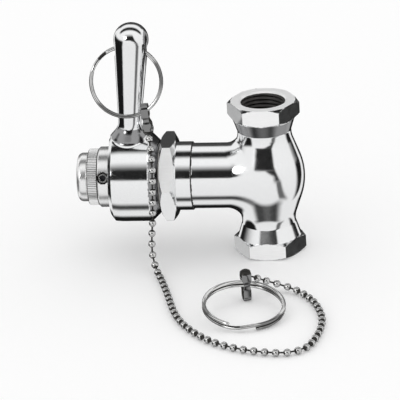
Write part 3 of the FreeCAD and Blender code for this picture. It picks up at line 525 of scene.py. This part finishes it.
def solid_surface(field, low, high, step):
    """Points and quads of the surface where a field is 0, with its sharp edges kept. Each cell
    of the grid that the surface runs through has one point, set where the planes through the
    cell's crossings meet."""
    # The grid's margins in steps, each point's pull towards its cell's crossings, and how far
    # it may leave its cell
    before, beyond, steady, slack = 1.6, 2.1, 0.03, 0.2
    ticks = [np.arange(a - before * step, b + beyond * step, step) for a, b in zip(low, high)]
    start = np.array([tick[0] for tick in ticks])
    values = field(*np.meshgrid(*ticks, indexing="ij"))
    cells = tuple(size - 1 for size in values.shape)
    crossings = crossings_of(field, values, start, step)
    rows = []
    for axis, edges, points, normals, _ in crossings:
        for home in cells_round(edges, axis):
            inside = np.all((home >= 0) & (home < cells), axis=1)
            rows.append((home[inside], points[inside], normals[inside]))
    home, points, normals = (np.concatenate(part) for part in zip(*rows))
    keys, owner = np.unique(np.ravel_multi_index(home.T, cells), return_inverse=True)
    owner = owner.ravel()
    number = np.full(cells, -1)
    number.ravel()[keys] = np.arange(len(keys))
    count = np.bincount(owner)
    mean = np.stack([np.bincount(owner, points[:, k]) / count for k in range(3)], axis=1)
    offset = np.sum(normals * (points - mean[owner]), axis=1)
    left = np.zeros((len(keys), 3, 3))
    right = np.zeros((len(keys), 3))
    for row in range(3):
        right[:, row] = np.bincount(owner, normals[:, row] * offset)
        for column in range(3):
            left[:, row, column] = np.bincount(owner, normals[:, row] * normals[:, column])
    left += np.eye(3) * steady * count[:, None, None]
    move = np.linalg.solve(left, right[:, :, None])[:, :, 0]
    corner = np.stack(np.unravel_index(keys, cells), axis=1)
    vertices = np.clip(mean + move, corner - slack, corner + 1 + slack) * step + start
    quads = []
    for axis, edges, _, _, outwards in crossings:
        quad = np.stack([number[tuple(cell.T)] for cell in cells_round(edges, axis)], axis=1)
        quads.append(np.where(outwards[:, None], quad, quad[:, ::-1]))
    return vertices, np.concatenate(quads)


def grown(name, field, node, step, materials, choose=None, margin=0.0):
    """A piece whose surface is a field's 0, within a node's box. Its normals come from the field,
    a little inwards of each face's corners, so that sharp edges stay sharp."""
    low, high = box(node)
    points, faces = solid_surface(field, low - margin, high + margin, step)
    centres = points[faces].mean(axis=1)
    slots = choose(centres, unit(slope(field, centres))) if choose else None
    piece = new_piece(name, points, faces, materials, slots)
    inwards = 0.2
    corners = points[faces].reshape(-1, 3) * (1 - inwards) + np.repeat(centres, 4, axis=0) * inwards
    piece.data.normals_split_custom_set(unit(slope(field, corners)).tolist())
    return piece


def dress(piece, body, slot, *nodes):
    """Puts a piece on its body, in place of its nodes."""
    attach(piece, body)
    if nodes:
        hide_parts(*nodes)


# Fields

# A field is below 0 inside, above 0 outside, and about the distance to the surface in
# millimetres. Where a form leans, its field is scaled to keep that true: BEVEL is the scale
# for a chamfer of 45 degrees.
BEVEL = 0.7


def meet(*fields):
    """What is inside all the fields."""
    result = fields[0]
    for field in fields[1:]:
        result = np.maximum(result, field)
    return result


def join(*fields):
    """What is inside any of the fields."""
    result = fields[0]
    for field in fields[1:]:
        result = np.minimum(result, field)
    return result


def filleted(one, two, radius):
    """Joins two fields with a fillet between them."""
    a, b = np.maximum(radius - one, 0), np.maximum(radius - two, 0)
    return np.maximum(radius, np.minimum(one, two)) - np.hypot(a, b)


def hexagon(p, q, flats):
    """A hexagon with two corners on the p axis."""
    slant = math.sqrt(3) / 2
    return meet(np.abs(q), np.abs(q / 2 + p * slant), np.abs(q / 2 - p * slant)) - flats / 2


def rounded_profile(corners):
    """Samples of an outline of corners (place, radius, round), the rounds as true arcs."""
    points = [np.array(corner[:2], dtype=float) for corner in corners]
    samples = [points[0]]
    arc = np.linspace(0, 1, 40)
    for index in range(1, len(points) - 1):
        corner = points[index]
        back = points[index - 1] - corner
        ahead = points[index + 1] - corner
        back /= np.linalg.norm(back)
        ahead /= np.linalg.norm(ahead)
        radius = corners[index][2] if len(corners[index]) == 3 else 0
        if radius == 0:
            samples.append(corner)
            continue
        half = math.acos(np.clip(np.dot(back, ahead), -1, 1)) / 2
        reach = radius / math.tan(half)
        middle = (back + ahead) / np.linalg.norm(back + ahead)
        centre = corner + middle * radius / math.sin(half)
        first, last = corner + back * reach - centre, corner + ahead * reach - centre
        for share in arc:
            spoke = first * (1 - share) + last * share
            samples.append(centre + spoke / np.linalg.norm(spoke) * radius)
    samples.append(points[-1])
    return np.array(samples).T


def barrel_place(x, y, z):
    """Out along the barrel's axis, and the distance from that axis."""
    return -x, np.hypot(y, z + PORT_REACH)


SHOULDER = PORT_REACH - PORT_HEX
# The upright's outline: distance from the barrel's axis upwards or downwards, and radius
UPRIGHT = rounded_profile([
    (-1, BELLY_CORNER - (BELLY_CORNER - NECK) / BELLY_TAPER),
    (0, BELLY_CORNER),
    (BELLY_TAPER, NECK, NECK_BLEND),
    (SHOULDER - NECK_TAPER, NECK, NECK_CORNER),
    (SHOULDER, PORT_FLATS / 2 + 0.05),
    (SHOULDER + UNDER_CHAMFER, PORT_CORNER),
    (PORT_REACH - CORNER_CHAMFER, PORT_CORNER),
    (PORT_REACH, PORT_CORNER - CORNER_CHAMFER),
    (PORT_REACH + 3, PORT_CORNER - CORNER_CHAMFER - 3),
])
BELLY_LEAN = math.atan((BELLY_CORNER - NECK) / BELLY_TAPER)
BELLY_CENTRE = BELLY_CORNER - BELLY_ROUND / math.cos(BELLY_LEAN)


def body_field(x, y, z):
    z = z + PORT_REACH
    high = np.abs(z)
    around = np.hypot(x, y)
    barrel = np.hypot(y, z)
    deep = -9.0
    # The upright, with the belly as part of a torus and a hexagon at each end
    radius = np.interp(high, *UPRIGHT)
    belly = BELLY_CENTRE + np.sqrt(np.maximum(BELLY_ROUND ** 2 - high ** 2, 0))
    radius = np.where(high < BELLY_ROUND * math.sin(BELLY_LEAN), belly, radius)
    upright = (around - radius) * 0.92
    flats = np.where(high > SHOULDER - 3, hexagon(x, y, PORT_FLATS), deep)
    upright = meet(upright, flats, high - PORT_REACH)
    worn = (around - PORT_CORNER + UNDER_SLOPE * (-z - PORT_REACH + UNDER_CHAMFER)) * 0.45
    upright = np.where(z < 0, meet(upright, np.where(-z > SHOULDER, worn, deep)), upright)
    crown = (around - PORT_CORNER + TOP_CHAMFER * (z - PORT_REACH) + TOP_CUT) * 0.5
    upright = np.where(z > SHOULDER, meet(upright, crown), upright)
    # The branch, whose fillet is smaller where its surface and the belly's are alike
    branch = meet(barrel - BRANCH, -x - SEAM, x)
    lean = np.where(high < BELLY_TAPER, high / BELLY_ROUND, 0)
    lean = np.minimum(lean, math.sin(BELLY_LEAN))
    alike = (y * y / np.maximum(around * barrel, 1) * np.sqrt(1 - lean ** 2)
             + lean * high / np.maximum(barrel, 1))
    solid = filleted(upright, branch, ELBOW * (1 - alike) + SADDLE * np.maximum(alike, 0))
    solid = join(solid, meet(barrel - SPIGOT, -x - SPIGOT_OUT, x))
    # The hollows: ports, ways, chamber and the seat's hole in the wall between them
    mouth = around - PORT_BORE - np.maximum(high - PORT_REACH + PORT_MOUTH, 0)
    bores = meet(mouth, PORT_REACH - PORT_DEPTH - high)
    inlet = meet(around - WAY, x + SEPTUM, -z, z - PORT_REACH + PORT_DEPTH / 2)
    outlet = meet(around - WAY, z, -z - PORT_REACH + PORT_DEPTH / 2)
    outlet = meet(join(outlet, np.hypot(around, z) - BOWL), SEPTUM - x)
    chamber = meet(barrel - CHAMBER, x + SEPTUM, -x - SPIGOT_OUT)
    seat = meet(barrel - SEAT_HOLE, np.abs(x) - SEPTUM - 1)
    return meet(solid, -join(bores, inlet, outlet, chamber, seat))


def nut_field(x, y, z):
    out, around = barrel_place(x, y, z)
    start = NUT_OUT - NUT_HEX
    steep = math.sqrt(3)
    cone = join(NUT_FACE + (NUT_OUT - out) * steep, NUT_NECK + (out - start) * steep)
    hexed = hexagon(y, z + PORT_REACH, NUT_FLATS)
    hexed = meet(hexed, (around - cone) * 0.5, out - NUT_OUT, start - out)
    chamfer = (around - SKIRT + EDGE_CHAMFER - (out - SEAM)) * BEVEL
    skirt = meet(around - SKIRT, chamfer, SEAM - out, out - start - 1)
    bore = around - np.where(out < SPIGOT_OUT + 4, SPIGOT + SLIDE_FIT, SLEEVE)
    return meet(filleted(hexed, skirt, NUT_FILLET), -bore)


LEVER_FOOT_X = -(LEVER_MIDDLE + HUB * math.tan(LEAN))
# The lever's outline: height from the barrel's axis along the lever, and radius
ARM = rounded_profile([
    (0, LEVER_FLARE),
    (FLARE_START, LEVER_FLARE),
    (FLARE_END, LEVER_FOOT, FLARE_ROUND),
    (HEAD_HEIGHT, LEVER_HEAD),
])


def arm_place(x, y, z):
    """Across, forward and up in the lever's own frame."""
    shift, rise = x - LEVER_FOOT_X, z + PORT_REACH
    across = shift * math.cos(LEAN) - rise * math.sin(LEAN)
    return across, y, shift * math.sin(LEAN) + rise * math.cos(LEAN)


def hole_widening(across):
    """How much wider the ring's hole is towards both sides of the lever's head."""
    return np.maximum(np.abs(across) - LEVER_HEAD + HOLE_MOUTH, 0) * HOLE_MOUTH_SLOPE


def barrel_field(x, y, z):
    out, around = barrel_place(x, y, z)
    radius = np.interp(out, (HUB_IN, HUB_SHOULDER, HUB_OUT - HUB_CHAMFER, HUB_OUT),
                       (HUB_FACE, HUB, HUB, HUB - HUB_CHAMFER_DEEP))
    crown = np.clip((out - HUB_OUT + HUB_CROWN) / HUB_CROWN, 0, 1)
    hub = meet((around - radius + HUB_CROWN_DEEP * crown ** 2) * 0.8, HUB_IN - out, out - HUB_OUT)
    across, forward, up = arm_place(x, y, z)
    axis = np.hypot(across, forward)
    top = HEAD_HEIGHT + LEVER_HEAD - LEVER_CROWN
    inner = np.maximum(axis - LEVER_HEAD + LEVER_CROWN, 0)
    dome = np.hypot(inner, np.maximum(up - top, 0)) - LEVER_CROWN
    arm = np.where(up > top, dome, (axis - np.interp(up, *ARM)) * 0.9)
    casting = filleted(hub, meet(arm, LEVER_START - up), LEVER_FILLET)
    hole = np.hypot(forward, up - HOLE_HEIGHT) - HOLE - hole_widening(across)
    grooves = meet(np.abs(y) - PIN_GROOVE, np.abs(z + PORT_REACH) - PIN,
                   HUB_SHOULDER + PIN_GROOVE_END - out)
    return meet(casting, SLEEVE - around, -hole, -grooves)


def screw_place(x, y, z):
    """Two distances across the collar's screw, and the place along it from the barrel's axis."""
    up = z + PORT_REACH
    rise = up * math.cos(SCREW_RISE) + y * math.sin(SCREW_RISE)
    along = up * math.sin(SCREW_RISE) - y * math.cos(SCREW_RISE)
    return x + (COLLAR_IN + COLLAR_OUT) / 2, rise, along


def collar_field(x, y, z):
    out, around = barrel_place(x, y, z)
    edge = join(out - COLLAR_IN, COLLAR_OUT - out)
    ring = meet(around - COLLAR, (around - COLLAR + EDGE_CHAMFER - edge) * BEVEL, -edge)
    across, rise, along = screw_place(x, y, z)
    widening = np.maximum(along - COLLAR + SCREW_ROUND, 0)
    hole = meet(np.hypot(across, rise) - SCREW - SCREW_GAP - widening, -along)
    return meet(ring, SLEEVE - SLIDE_FIT - around, -hole)


def screw_field(x, y, z):
    across, rise, along = screw_place(x, y, z)
    top = COLLAR - SCREW_SUNK
    round_end = (np.hypot(across, rise) - SCREW + SCREW_ROUND - (top - along)) * BEVEL
    grub = meet(np.hypot(across, rise) - SCREW, round_end, along - COLLAR + SCREW_SUNK,
                SLEEVE + 0.1 - along)
    socket = meet(hexagon(across, rise, SOCKET_FLATS), SLEEVE + SOCKET_FLOOR - along)
    return meet(grub, -socket)


def cap_field(x, y, z):
    out, around = barrel_place(x, y, z)
    domed = out - CAP_OUT + CAP_CROWN * (around / CAP) ** 2
    inner = np.maximum(around - CAP + CAP_ROUND, 0)
    rounded = np.hypot(inner, np.maximum(domed + CAP_ROUND, 0)) - CAP_ROUND
    groove = np.hypot(around - CAP, out - KNURL_OUT - CAP_GROOVE) - CAP_GROOVE
    return meet(rounded, KNURL_OUT - out, -groove)


def hex_faces(across, angles, along):
    """Chooses slot 1 for a hexagon's faces at some angles, in degrees, in the plane of the two
    axes in across, where along holds."""
    def choose(centres, normals):
        flat = np.zeros(len(centres), dtype=bool)
        for angle in angles:
            turn = math.radians(angle)
            facing = normals[:, across[0]] * math.cos(turn) + normals[:, across[1]] * math.sin(turn)
            flat |= np.abs(facing) > 0.999
        return (flat & along(centres)).astype(int)
    return choose


def make_body():
    machined, bore_shade, painted_shade = 1, 2, 3

    def on_flange(centres):
        return np.abs(centres[:, 2] + PORT_REACH) > SHOULDER - 0.5

    def choose(centres, normals):
        # One pair of the hexagons' flats, at the front and back, gets a whiter satin finish:
        # painted sheen
        slots = hex_faces((0, 1), (90,), on_flange)(centres, normals)
        x, y, z = centres.T
        around = np.hypot(x, y)
        high = np.abs(z + PORT_REACH)
        ends = (np.abs(normals[:, 2]) > 0.98) & (high > PORT_REACH - 0.1)
        ends |= (high > PORT_REACH - PORT_MOUTH) & (around < PORT_BORE + 1)
        bore = around < PORT_BORE + 0.05
        inner = np.hypot(y, z + PORT_REACH) < CHAMBER + 0.05
        # The taper under the upper hexagon gets painted shade
        under = np.abs(z + PORT_REACH - SHOULDER + NECK_TAPER / 2) < NECK_TAPER / 2 - 0.3
        slots[under & (around > NECK + 0.1)] = painted_shade
        # Bores, chamber and bowl get painted shade
        slots[bore | (inner & (x < 0))] = bore_shade
        slots[(high < BOWL) & (around < BOWL + 0.1)] = bore_shade
        slots[ends] = machined
        return slots

    body = grown("body_casting", body_field, "valve_body", BODY_GRID,
                 ("chrome_plate", "machined_and_sheen_flats", "painted_shade_bore", "painted_shade_chrome"), choose)
    dress(body, "valve", "chrome_plate", "valve_body")


def circle(radius, height, sides):
    """Points of a level circle round the ports' axis."""
    turns = [2 * math.pi * side / sides for side in range(sides)]
    return [(radius * math.cos(turn), radius * math.sin(turn), height) for turn in turns]


def make_thread(name, mouth, inwards):
    """The ridges of a pipe thread inside a port, as a thin ring with a ridged wall. Mouth is the
    height of the port's face, and inwards is -1 or 1 for the way in."""
    around, rows = 96, 66
    # The ring starts behind the port's chamfer and ends before its bore does
    first = PORT_MOUTH + 0.2
    long = PORT_DEPTH - PORT_MOUTH - 1.0
    wall, clear = 0.3, 0.02
    points = []
    for row in range(rows):
        along = long * row / (rows - 1)
        ends = min(1.0, along / THREAD_FADE, (long - along) / THREAD_FADE)
        for column in range(around):
            turn = 2 * math.pi * column / around
            phase = (along / THREAD_PITCH + column / around) % 1.0
            ridge = 1 - abs(2 * phase - 1)
            radius = PORT_BORE + clear - THREAD_DEPTH * max(ends, 0.0) * ridge
            height = mouth + inwards * (first + along)
            points.append((radius * math.cos(turn), radius * math.sin(turn), height))
    for along in (long, 0.0):
        points += circle(PORT_BORE + wall, mouth + inwards * (first + along), around)
    faces = []
    loops = rows + 2
    for row in range(loops):
        following = (row + 1) % loops
        for column in range(around):
            ahead = (column + 1) % around
            face = (row * around + column, row * around + ahead,
                    following * around + ahead, following * around + column)
            faces.append(face if inwards < 0 else face[::-1])
    # The thread's near-black colour is painted shade inside the port
    ring = new_piece(name, points, faces, ["painted_shade_bore"], smooth=False)
    dress(ring, "valve", "chrome_plate")


def make_nut():
    def on_hexagon(centres):
        return -centres[:, 0] > NUT_OUT - NUT_HEX

    def choose(centres, normals):
        # The flats facing forward and up, and the opposite ones, get a whiter satin finish: painted
        # sheen
        slots = hex_faces((1, 2), (150,), on_hexagon)(centres, normals)
        # Painted shade along the nut's joint with the body
        slots[-centres[:, 0] < SEAM + 0.4] = 2
        return slots

    nut = grown("union_nut", nut_field, "bonnet_nut", NUT_GRID,
                ("chrome_plate", "machined_and_sheen_flats", "painted_shade_bore"), choose)
    dress(nut, "valve", "chrome_plate", "bonnet_nut")


def make_barrel():
    def choose(centres, normals):
        out, around = barrel_place(*centres.T)
        across, forward, up = arm_place(*centres.T)
        # The ring's hole and the bore get painted shade
        hole = np.hypot(forward, up - HOLE_HEIGHT) < HOLE + 0.12 + hole_widening(across)
        bore = around < SLEEVE + 0.2
        # The cone and the lever's foot get darker chrome: painted shade
        cone = (out < HUB_SHOULDER - 0.2) & ~bore
        foot = (up < FLARE_SHADE) & (around > HUB + 0.4)
        return np.where(cone | foot, 2, (hole | bore).astype(int))

    barrel = grown("barrel_and_lever", barrel_field, "lever_barrel", BARREL_GRID,
                   ("chrome_plate", "painted_shade_bore", "painted_shade_chrome"), choose)
    dress(barrel, "lever", "chrome_plate", "lever_barrel")


def make_collar():
    def choose_ring(centres, normals):
        # The screw's hole and its mouth get painted shade
        across, rise, along = screw_place(*centres.T)
        return ((np.hypot(across, rise) < SCREW + 0.55) & (along > 0)).astype(int)

    def choose_screw(centres, normals):
        # The socket is black as painted shade in the recess; the hidden shank is black steel
        across, rise, along = screw_place(*centres.T)
        return ((np.hypot(across, rise) < 1.4) | (along < COLLAR - 1)).astype(int)

    collar = grown("collar", collar_field, "retaining_collar", COLLAR_GRID,
                   ("satin_chrome", "painted_shade_bore"), choose_ring)
    dress(collar, "valve", "chrome_plate", "retaining_collar")
    screw = grown("collar_screw", screw_field, "collar_set_screw", SCREW_GRID,
                  ("stainless", "black_steel"), choose_screw)
    dress(screw, "valve", "stainless", "collar_set_screw")


def make_cap():
    cap = grown("cap", cap_field, "end_cap", NUT_GRID, ("satin_chrome",))
    dress(cap, "adjuster", "chrome_plate", "end_cap")


def make_knurl():
    """The finely grooved ring, as a turned outline whose rim is cut by teeth."""
    flank = KNURL - KNURL_EDGE - 0.1
    lip = KNURL_OUT - 0.9
    # Place, radius, and whether the teeth cut it
    outline = [
        (KNURL_IN, SLEEVE, 0),
        (KNURL_IN, flank, 0),
        (KNURL_IN + KNURL_EDGE, KNURL, 1),
        ((KNURL_IN + KNURL_OUT) / 2, KNURL, 1),
        (KNURL_OUT - KNURL_EDGE, KNURL, 1),
        (KNURL_OUT, flank, 0),
        (KNURL_OUT, CAP - 0.5, 0),
        (lip, CAP - 1.7, 0),
        (lip, SLEEVE, 0),
    ]
    steps = len(TOOTH_SHAPE)
    columns = TEETH * steps
    points = []
    for out, radius, cut in outline:
        for column in range(columns):
            turn = 2 * math.pi * column / columns
            deep = radius - cut * TOOTH_DEEP * TOOTH_SHAPE[column % steps]
            points.append((-out, deep * math.cos(turn), deep * math.sin(turn) - PORT_REACH))
    faces, slots = [], []
    for row in range(len(outline)):
        following = (row + 1) % len(outline)
        both_cut = outline[row][2] and outline[following][2]
        chamfer = outline[row][2] != outline[following][2]
        for column in range(columns):
            ahead = (column + 1) % columns
            faces.append((following * columns + column, following * columns + ahead,
                          row * columns + ahead, row * columns + column))
            # The chamfers and the bottom of each groove get painted shade
            slots.append(1 if chamfer or (both_cut and column % steps == 3) else 0)
    ring = new_piece("knurl", points, faces, ["knurled_metal", "painted_shade_metal"], slots, smooth=False)
    dress(ring, "adjuster", "chrome_plate", "knurled_ring")


# Spring, rings, clasps and chain

def swept(points, radius, sides, side_hint):
    """A closed round wire along points, with rounded ends, as points and faces."""
    points = np.asarray(points, dtype=float)
    ahead = unit(np.gradient(points, axis=0))
    side = unit(np.cross(ahead, side_hint))
    up = np.cross(side, ahead)
    turns = 2 * math.pi * np.arange(sides) / sides
    # Each row of the wire: which point, how far behind it, and its share of the radius
    bulge = [(-0.6, 0.05), (-0.42, 0.7), (0.0, 1.0)]
    last = len(points) - 1
    rows = [(0, shift, share) for shift, share in bulge] + [(k, 0.0, 1.0) for k in range(1, last)]
    rows += [(last, -shift, share) for shift, share in reversed(bulge)]
    rings = []
    for index, shift, share in rows:
        centre = points[index] + ahead[index] * shift * radius
        spokes = np.outer(np.cos(turns), side[index]) + np.outer(np.sin(turns), up[index])
        rings.append(centre + spokes * radius * share)
    faces = []
    for row in range(len(rings) - 1):
        for k in range(sides):
            a, b = row * sides + k, row * sides + (k + 1) % sides
            faces.append((a + sides, b + sides, b, a))
    faces.append(tuple(range(sides)))
    faces.append(tuple(range(len(rings) * sides - sides, len(rings) * sides))[::-1])
    return np.concatenate(rings), faces


def split_ring(name, node, radius, centre, turn, first, body):
    """A ring of two close turns, with one short step from the lower turn to the upper. The faces
    between the two turns get painted shade."""
    gap, degrees_apart, sides = 42, 3, 20
    half = WIRE + TURN_GAP / 2
    points = []
    for degrees in range(0, 720 - gap + 1, degrees_apart):
        share = min(max((degrees - (360 - gap)) / gap, 0.0), 1.0)
        height = -half + 2 * half * share * share * (3 - 2 * share)
        angle = math.radians(first + degrees)
        local = Vector((radius * math.cos(angle), radius * math.sin(angle), height))
        points.append(tuple(turn @ local + centre))
    axis = np.array(turn @ Vector((0, 0, 1)))
    vertices, faces = swept(points, WIRE, sides, axis)
    slots = np.zeros(len(faces), dtype=int)
    # The stripe along each turn where it faces the other gets painted shade
    lower_shade_line, upper_shade_line, shade_line_wide = 4.5, 14.5, 2.6
    for index in range(len(faces) - 2):
        row, side = divmod(index, sides)
        shade_line = lower_shade_line if row < len(points) / 2 else upper_shade_line
        slots[index] = abs(side - shade_line) < shade_line_wide
    wire = new_piece(name, vertices, faces, ["nickel_wire", "painted_shade_metal"], slots)
    wire.visible_glossy = False
    dress(wire, body, "nickel_wire", node)


def make_spring():
    """The return spring, which the stem presses together while both turn with the lever."""
    low, high = span("return_spring", 0)
    mean = span("return_spring", 1)[1] - COIL_WIRE
    first, last = -high + COIL_WIRE, -low - COIL_WIRE
    along = np.linspace(0, 1, COIL_TURNS * 40)
    turn = 2 * math.pi * COIL_TURNS * along
    points = np.column_stack((-first - (last - first) * along, mean * np.sin(turn),
                              mean * np.cos(turn) - PORT_REACH))
    vertices, faces = swept(points, COIL_WIRE, 12, (1.0, 0.0, 0.0))
    coil = new_piece("spring_coil", vertices, faces, ["stainless"])
    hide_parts("return_spring")
    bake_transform(coil)


def lever_frame_point(across, forward, up):
    """The place of a point given in the lever's own frame."""
    x = LEVER_FOOT_X + across * math.cos(LEAN) + up * math.sin(LEAN)
    z = -PORT_REACH - across * math.sin(LEAN) + up * math.cos(LEAN)
    return Vector((x, forward, z))


def make_rings():
    """The lever's ring, which leans a little forward, and the pull ring on its clasp."""
    tilt = math.radians(14)
    # How far the ring's middle is below the lever's hole and to the left of it
    drop, slide = 14.28, 1.54
    centre = lever_frame_point(-slide, -drop * math.sin(tilt), HOLE_HEIGHT - drop * math.cos(tilt))
    facing = Matrix.Rotation(LEAN, 3, "Y") @ Matrix.Rotation(math.pi / 2 - tilt, 3, "X")
    split_ring("upper_ring", "lever_ring", UPPER_RING, centre, facing, 168, "lever_ring")
    low, high = (Vector(corner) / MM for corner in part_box("pull_ring"))
    # How steeply the ring lies, and on which side it is low
    lie, low_side = math.radians(10.5), math.radians(-60)
    spin = Matrix.Rotation(lie, 3, Vector((-math.sin(low_side), math.cos(low_side), 0)))
    centre = Vector((-5.2, -74.0, (low.z + high.z) / 2 - 0.35))
    split_ring("finger_ring", "pull_ring", FINGER_RING, centre, spin, -66, "valve")


def clasp_field(p, q, r):
    """A folded strip that holds a bead: p across its legs, q along its width, r from the bead to
    the tips. The strip bulges round the bead and has a waist beyond it."""
    middle = CLASP_INNER + STRIP / 2
    top = CLASP_LONG + STRIP / 2 - middle
    waist = np.exp(-((r - CLASP_WAIST) / WAIST_LONG) ** 2)
    narrow = middle / (middle - WAIST_DEEP * waist)
    past = r - np.clip(r, 0, top)
    # How round the strip is across its width: nearly a ball at the bead, flatter at the tips
    bow = 0.42 + 0.45 * np.clip(1 - r / 3.5, 0, 1)
    bowed = np.sqrt((p * narrow) ** 2 + past ** 2 + (bow * q) ** 2)
    shell = (np.abs(bowed - middle - CLASP_PLAY) - STRIP / 2 * narrow) / narrow
    width = CLASP_WIDE / 2 - WAIST_NARROW * waist
    width = width - TIP_NARROW * np.clip((r - CLASP_WAIST) / 3, 0, 1)
    mouth = meet(np.abs(p) - CLASP_MOUTH, top - r)
    centre = np.sqrt(p * p + q * q + r * r)
    cup = meet(np.abs(centre - middle) - STRIP / 2, r - CUP_END)
    hole = meet(np.hypot(p, q) - CLASP_HOLE, r)
    strip = meet(filleted(meet(shell, np.abs(q) - width, -mouth), cup, CUP_FILLET), -hole)
    link = meet(np.hypot(p, q) - LINK, r, -r - CLASP_INNER - STRIP)
    return join(strip, centre - BEAD, link)


def make_clasp(name, node, body, bead, across, along):
    """Places a clasp by the middle of its bead. Its outer faces are steel, the rest gets painted
    shade.
    """
    across, along = Vector(across).normalized(), Vector(along).normalized()
    rows = np.array(Matrix((across, along.cross(across), along)).transposed())
    across_axis, side_axis = rows[0], rows[1]

    def field(x, y, z):
        shifted = [value - part for value, part in zip((x, y, z), bead)]
        return clasp_field(*(sum(row[axis] * part for row, part in zip(rows, shifted))
                             for axis in range(3)))

    def choose(centres, normals):
        p, q, r = (rows @ (centres - np.array(bead)).T)
        bead_part = np.sqrt(p * p + q * q + r * r) < BEAD + 0.1
        outer = (np.sign(p) * (normals @ across_axis) > 0.35) | (np.abs(normals @ side_axis) > 0.6)
        # Inner faces and the link get painted shade
        return np.where(bead_part, 0, np.where(outer & (r > -0.9), 1, 2))

    clasp = grown(name, field, node, CLASP_GRID,
                  ("nickel_wire", "clasp_steel", "painted_shade_metal"), choose, margin=0.5)
    dress(clasp, body, "nickel_wire", node)
    return clasp


def route_points(name, route):
    """The chain's line, read from a smooth spline through the route's points."""
    curve = bpy.data.curves.new(name, "CURVE")
    curve.dimensions = "3D"
    curve.resolution_u = 24
    spline = curve.splines.new("NURBS")
    spline.points.add(len(route) - 1)
    for point, place in zip(spline.points, route):
        point.co = (*place, 1)
    spline.order_u = 3
    spline.use_endpoint_u = True
    holder = bpy.data.objects.new(name, curve)
    bpy.context.scene.collection.objects.link(holder)
    line = bpy.data.meshes.new_from_object(holder)
    points = np.array([vertex.co[:] for vertex in line.vertices]) / MM
    bpy.data.objects.remove(holder)
    bpy.data.curves.remove(curve)
    bpy.data.meshes.remove(line)
    return points


def ball_outline():
    """A bead's outline along the chain, open at both ends for the links: place and radius."""
    steps = 14
    angles = [math.pi * (k + 0.5) / steps for k in range(steps)]
    return [(-BEAD * math.cos(a), BEAD * math.sin(a)) for a in angles]


class Turned:
    """Collects turned forms, each set along its own direction, as one mesh with two slots."""

    sides = 20

    def __init__(self):
        self.points, self.faces, self.slots = [], [], []

    def add(self, centre, ahead, outline, shaded_rows):
        """Adds a form from its outline (place, radius). The outer rows at both ends get painted
        shade.
        """
        turns = 2 * math.pi * np.arange(self.sides) / self.sides
        hint = np.array((0, 0, 1.0)) if abs(ahead[2]) < 0.8 else np.array((1.0, 0, 0))
        side = np.cross(hint, ahead)
        side /= np.linalg.norm(side)
        spokes = np.outer(np.cos(turns), side) + np.outer(np.sin(turns), np.cross(ahead, side))
        base = self.sides * len(self.points)
        self.points += [centre + ahead * shift + spokes * radius for shift, radius in outline]
        for row in range(len(outline) - 1):
            at_end = min(row, len(outline) - 2 - row) < shaded_rows
            for k in range(self.sides):
                a, b = (base + row * self.sides + shift % self.sides for shift in (k, k + 1))
                self.faces.append((a, b, b + self.sides, a + self.sides))
                self.slots.append(1 if at_end else 0)
        self.faces.append(tuple(range(base, base + self.sides))[::-1])
        last = base + (len(outline) - 1) * self.sides
        self.faces.append(tuple(range(last, last + self.sides)))
        self.slots += [1, 1]


def make_chain(name, node, route, start, with_pieces):
    """Beads on dumb-bell links along a route. Gives where the first bead comes on the next."""
    path = route_points(name + "_line", route)
    steps = np.linalg.norm(np.diff(path, axis=0), axis=1)
    along = np.concatenate([[0], np.cumsum(steps)])
    total = along[-1]
    places = np.arange(start, total - 0.2, BEAD_PITCH)
    reach, shortest_link = 1.0, 0.3
    turned = Turned()

    def at(distance):
        return np.array([np.interp(distance, along, path[:, k]) for k in range(3)])

    for place in places:
        ahead = at(min(place + reach, total)) - at(max(place - reach, 0))
        turned.add(at(place), ahead / np.linalg.norm(ahead), ball_outline(), 3)
    stops = [max(start - BEAD_PITCH, 0.0), *places, min(places[-1] + BEAD_PITCH, total)]
    for first, second in zip(stops, stops[1:]):
        if second - first > shortest_link:
            a, b = at(first), at(second)
            length = np.linalg.norm(b - a)
            turned.add((a + b) / 2, (b - a) / length, [(-length / 2, LINK), (length / 2, LINK)], 1)
    # Bead ends and links get painted shade
    chain = new_piece(name, np.concatenate(turned.points), turned.faces,
                      ["nickel_beads", "painted_shade_metal"], turned.slots)
    for piece in (chain, *with_pieces):
        piece.visible_glossy = False
    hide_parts(node)
    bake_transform(chain)
    return BEAD_PITCH - (total - places[-1])


def make_chains():
    """Both clasps and both stretches of the chain, with the beads in step from one to the other."""
    clasp = make_clasp("upper_clasp", "lever_clasp", "lever_ring", Vector(UPPER_BEAD),
                       (0, -1, 0), (-0.105, 0, 1))
    twist, shift = math.radians(20), 2.1
    towards = (math.cos(twist), math.sin(twist), 0)
    bead = [place + shift * part for place, part in zip(LOWER_BEAD, towards)]
    lower = make_clasp("lower_clasp", "pull_clasp", "valve", Vector(bead),
                       (-towards[1], towards[0], 0), (0, 0, -1))
    left = make_chain("chain_upper", "chain_top", UPPER_ROUTE, FIRST_BEAD,
                      [clasp])
    ring = bpy.data.objects["finger_ring"]
    # The run goes down to its fifth point, where it comes to the floor
    make_chain("chain_lower", "chain_run", LOWER_ROUTE, left,
               [lower, ring])


def finish_nodes():
    """Gives each node that still shows its own metal, rubber or plastic."""
    slots = {part["node"]: part["material_slot"] for part in frame["record"]["subparts"]}
    for name, item in frame["nodes"].items():
        item.data.materials.clear()
        item.data.materials.append(MATERIALS[slots[name]])


bpy.context.scene.view_settings.view_transform = "Standard"
make_camera()
make_world()
make_floor()
finish_nodes()
make_rings()
make_chains()
make_body()
make_thread("inlet_thread", 0.0, -1)
make_thread("outlet_thread", FLOOR, 1)
make_nut()
make_barrel()
make_collar()
make_cap()
make_knurl()
make_spring()
